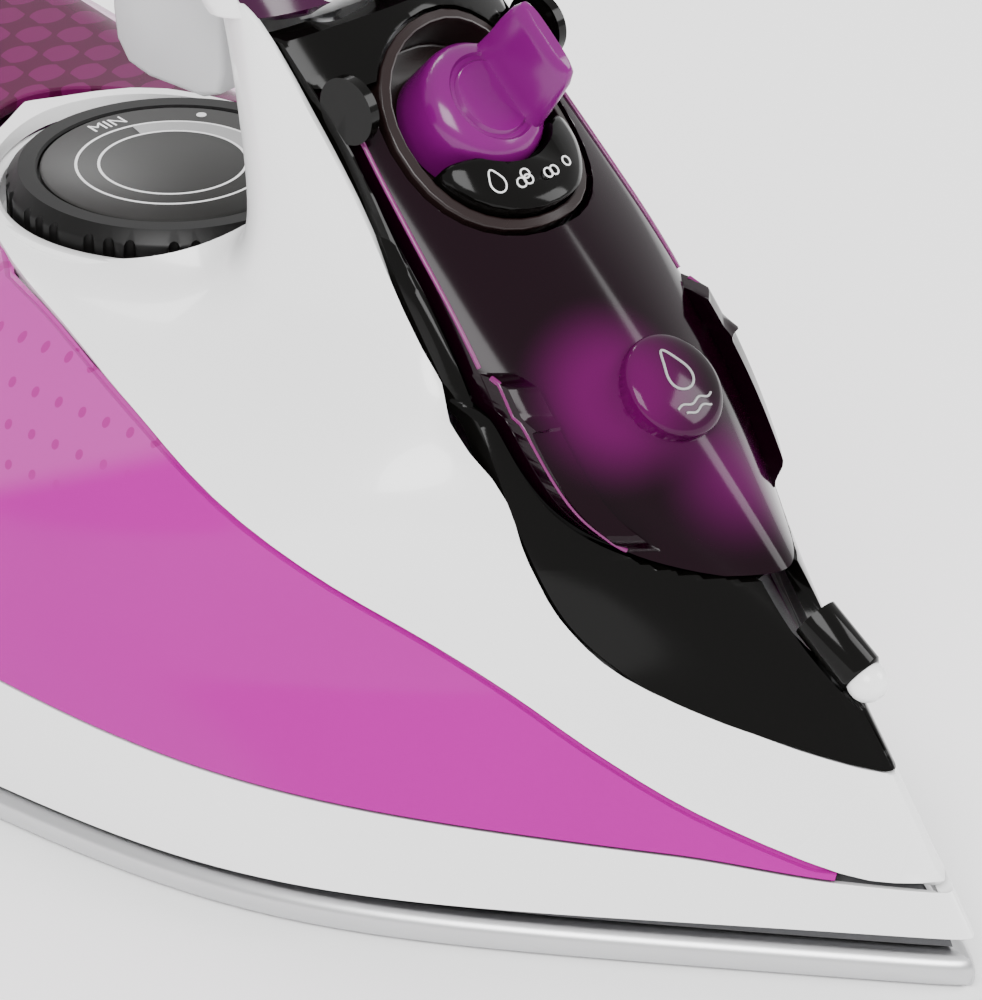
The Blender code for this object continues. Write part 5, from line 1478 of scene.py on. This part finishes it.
class IRON_OT_buttons(bpy.types.Operator):
    """Build the spray and steam buttons"""
    bl_idname = "iron.buttons"
    bl_label = "Buttons"

    def execute(self, context):
        build_buttons()
        return {"FINISHED"}


class IRON_OT_guard(bpy.types.Operator):
    """Build the finger guard"""
    bl_idname = "iron.guard"
    bl_label = "Finger guard"

    def execute(self, context):
        build_guard()
        return {"FINISHED"}


class IRON_OT_dial(bpy.types.Operator):
    """Build the heat dial"""
    bl_idname = "iron.dial"
    bl_label = "Heat dial"

    def execute(self, context):
        build_dial()
        return {"FINISHED"}


class IRON_OT_dial_print(bpy.types.Operator):
    """Build the print on the heat dial"""
    bl_idname = "iron.dial_print"
    bl_label = "Dial print"

    def execute(self, context):
        build_dial_print()
        return {"FINISHED"}


class IRON_OT_rear(bpy.types.Operator):
    """Build the cord gland, screws, feet and lens"""
    bl_idname = "iron.rear"
    bl_label = "Rear"

    def execute(self, context):
        build_rear()
        return {"FINISHED"}


STEPS = (IRON_OT_sole, IRON_OT_lower_body, IRON_OT_shell, IRON_OT_deck, IRON_OT_cover, IRON_OT_nozzle,
         IRON_OT_lid, IRON_OT_lever, IRON_OT_symbols, IRON_OT_handle, IRON_OT_buttons,
         IRON_OT_guard, IRON_OT_dial, IRON_OT_dial_print, IRON_OT_rear)


class IRON_PT_panel(bpy.types.Panel):
    """Steps and settings of the iron"""
    bl_idname = "IRON_PT_panel"
    bl_label = "Steam iron"
    bl_space_type = "VIEW_3D"
    bl_region_type = "UI"
    bl_category = "Iron"

    def draw(self, context):
        layout = self.layout
        for group in (context.scene.iron_colours, context.scene.iron_stage):
            for name in group.__annotations__:
                layout.prop(group, name)
        for operator in (IRON_OT_finishes, *STEPS, IRON_OT_stage):
            layout.operator(operator.bl_idname)


CLASSES = [IronColours, IronStage, IRON_OT_finishes, *STEPS, IRON_OT_stage, IRON_PT_panel]


def register():
    for item in CLASSES:
        bpy.utils.register_class(item)
    bpy.types.Scene.iron_colours = bpy.props.PointerProperty(type=IronColours)
    bpy.types.Scene.iron_stage = bpy.props.PointerProperty(type=IronStage)


def unregister():
    del bpy.types.Scene.iron_stage
    del bpy.types.Scene.iron_colours
    for item in reversed(CLASSES):
        bpy.utils.unregister_class(item)


def main():
    register()
    bpy.ops.iron.stage()
    bpy.ops.iron.finishes()
    for item in STEPS:
        group, name = item.bl_idname.split(".")
        getattr(getattr(bpy.ops, group), name)()


if __name__ == "__main__":
    main()
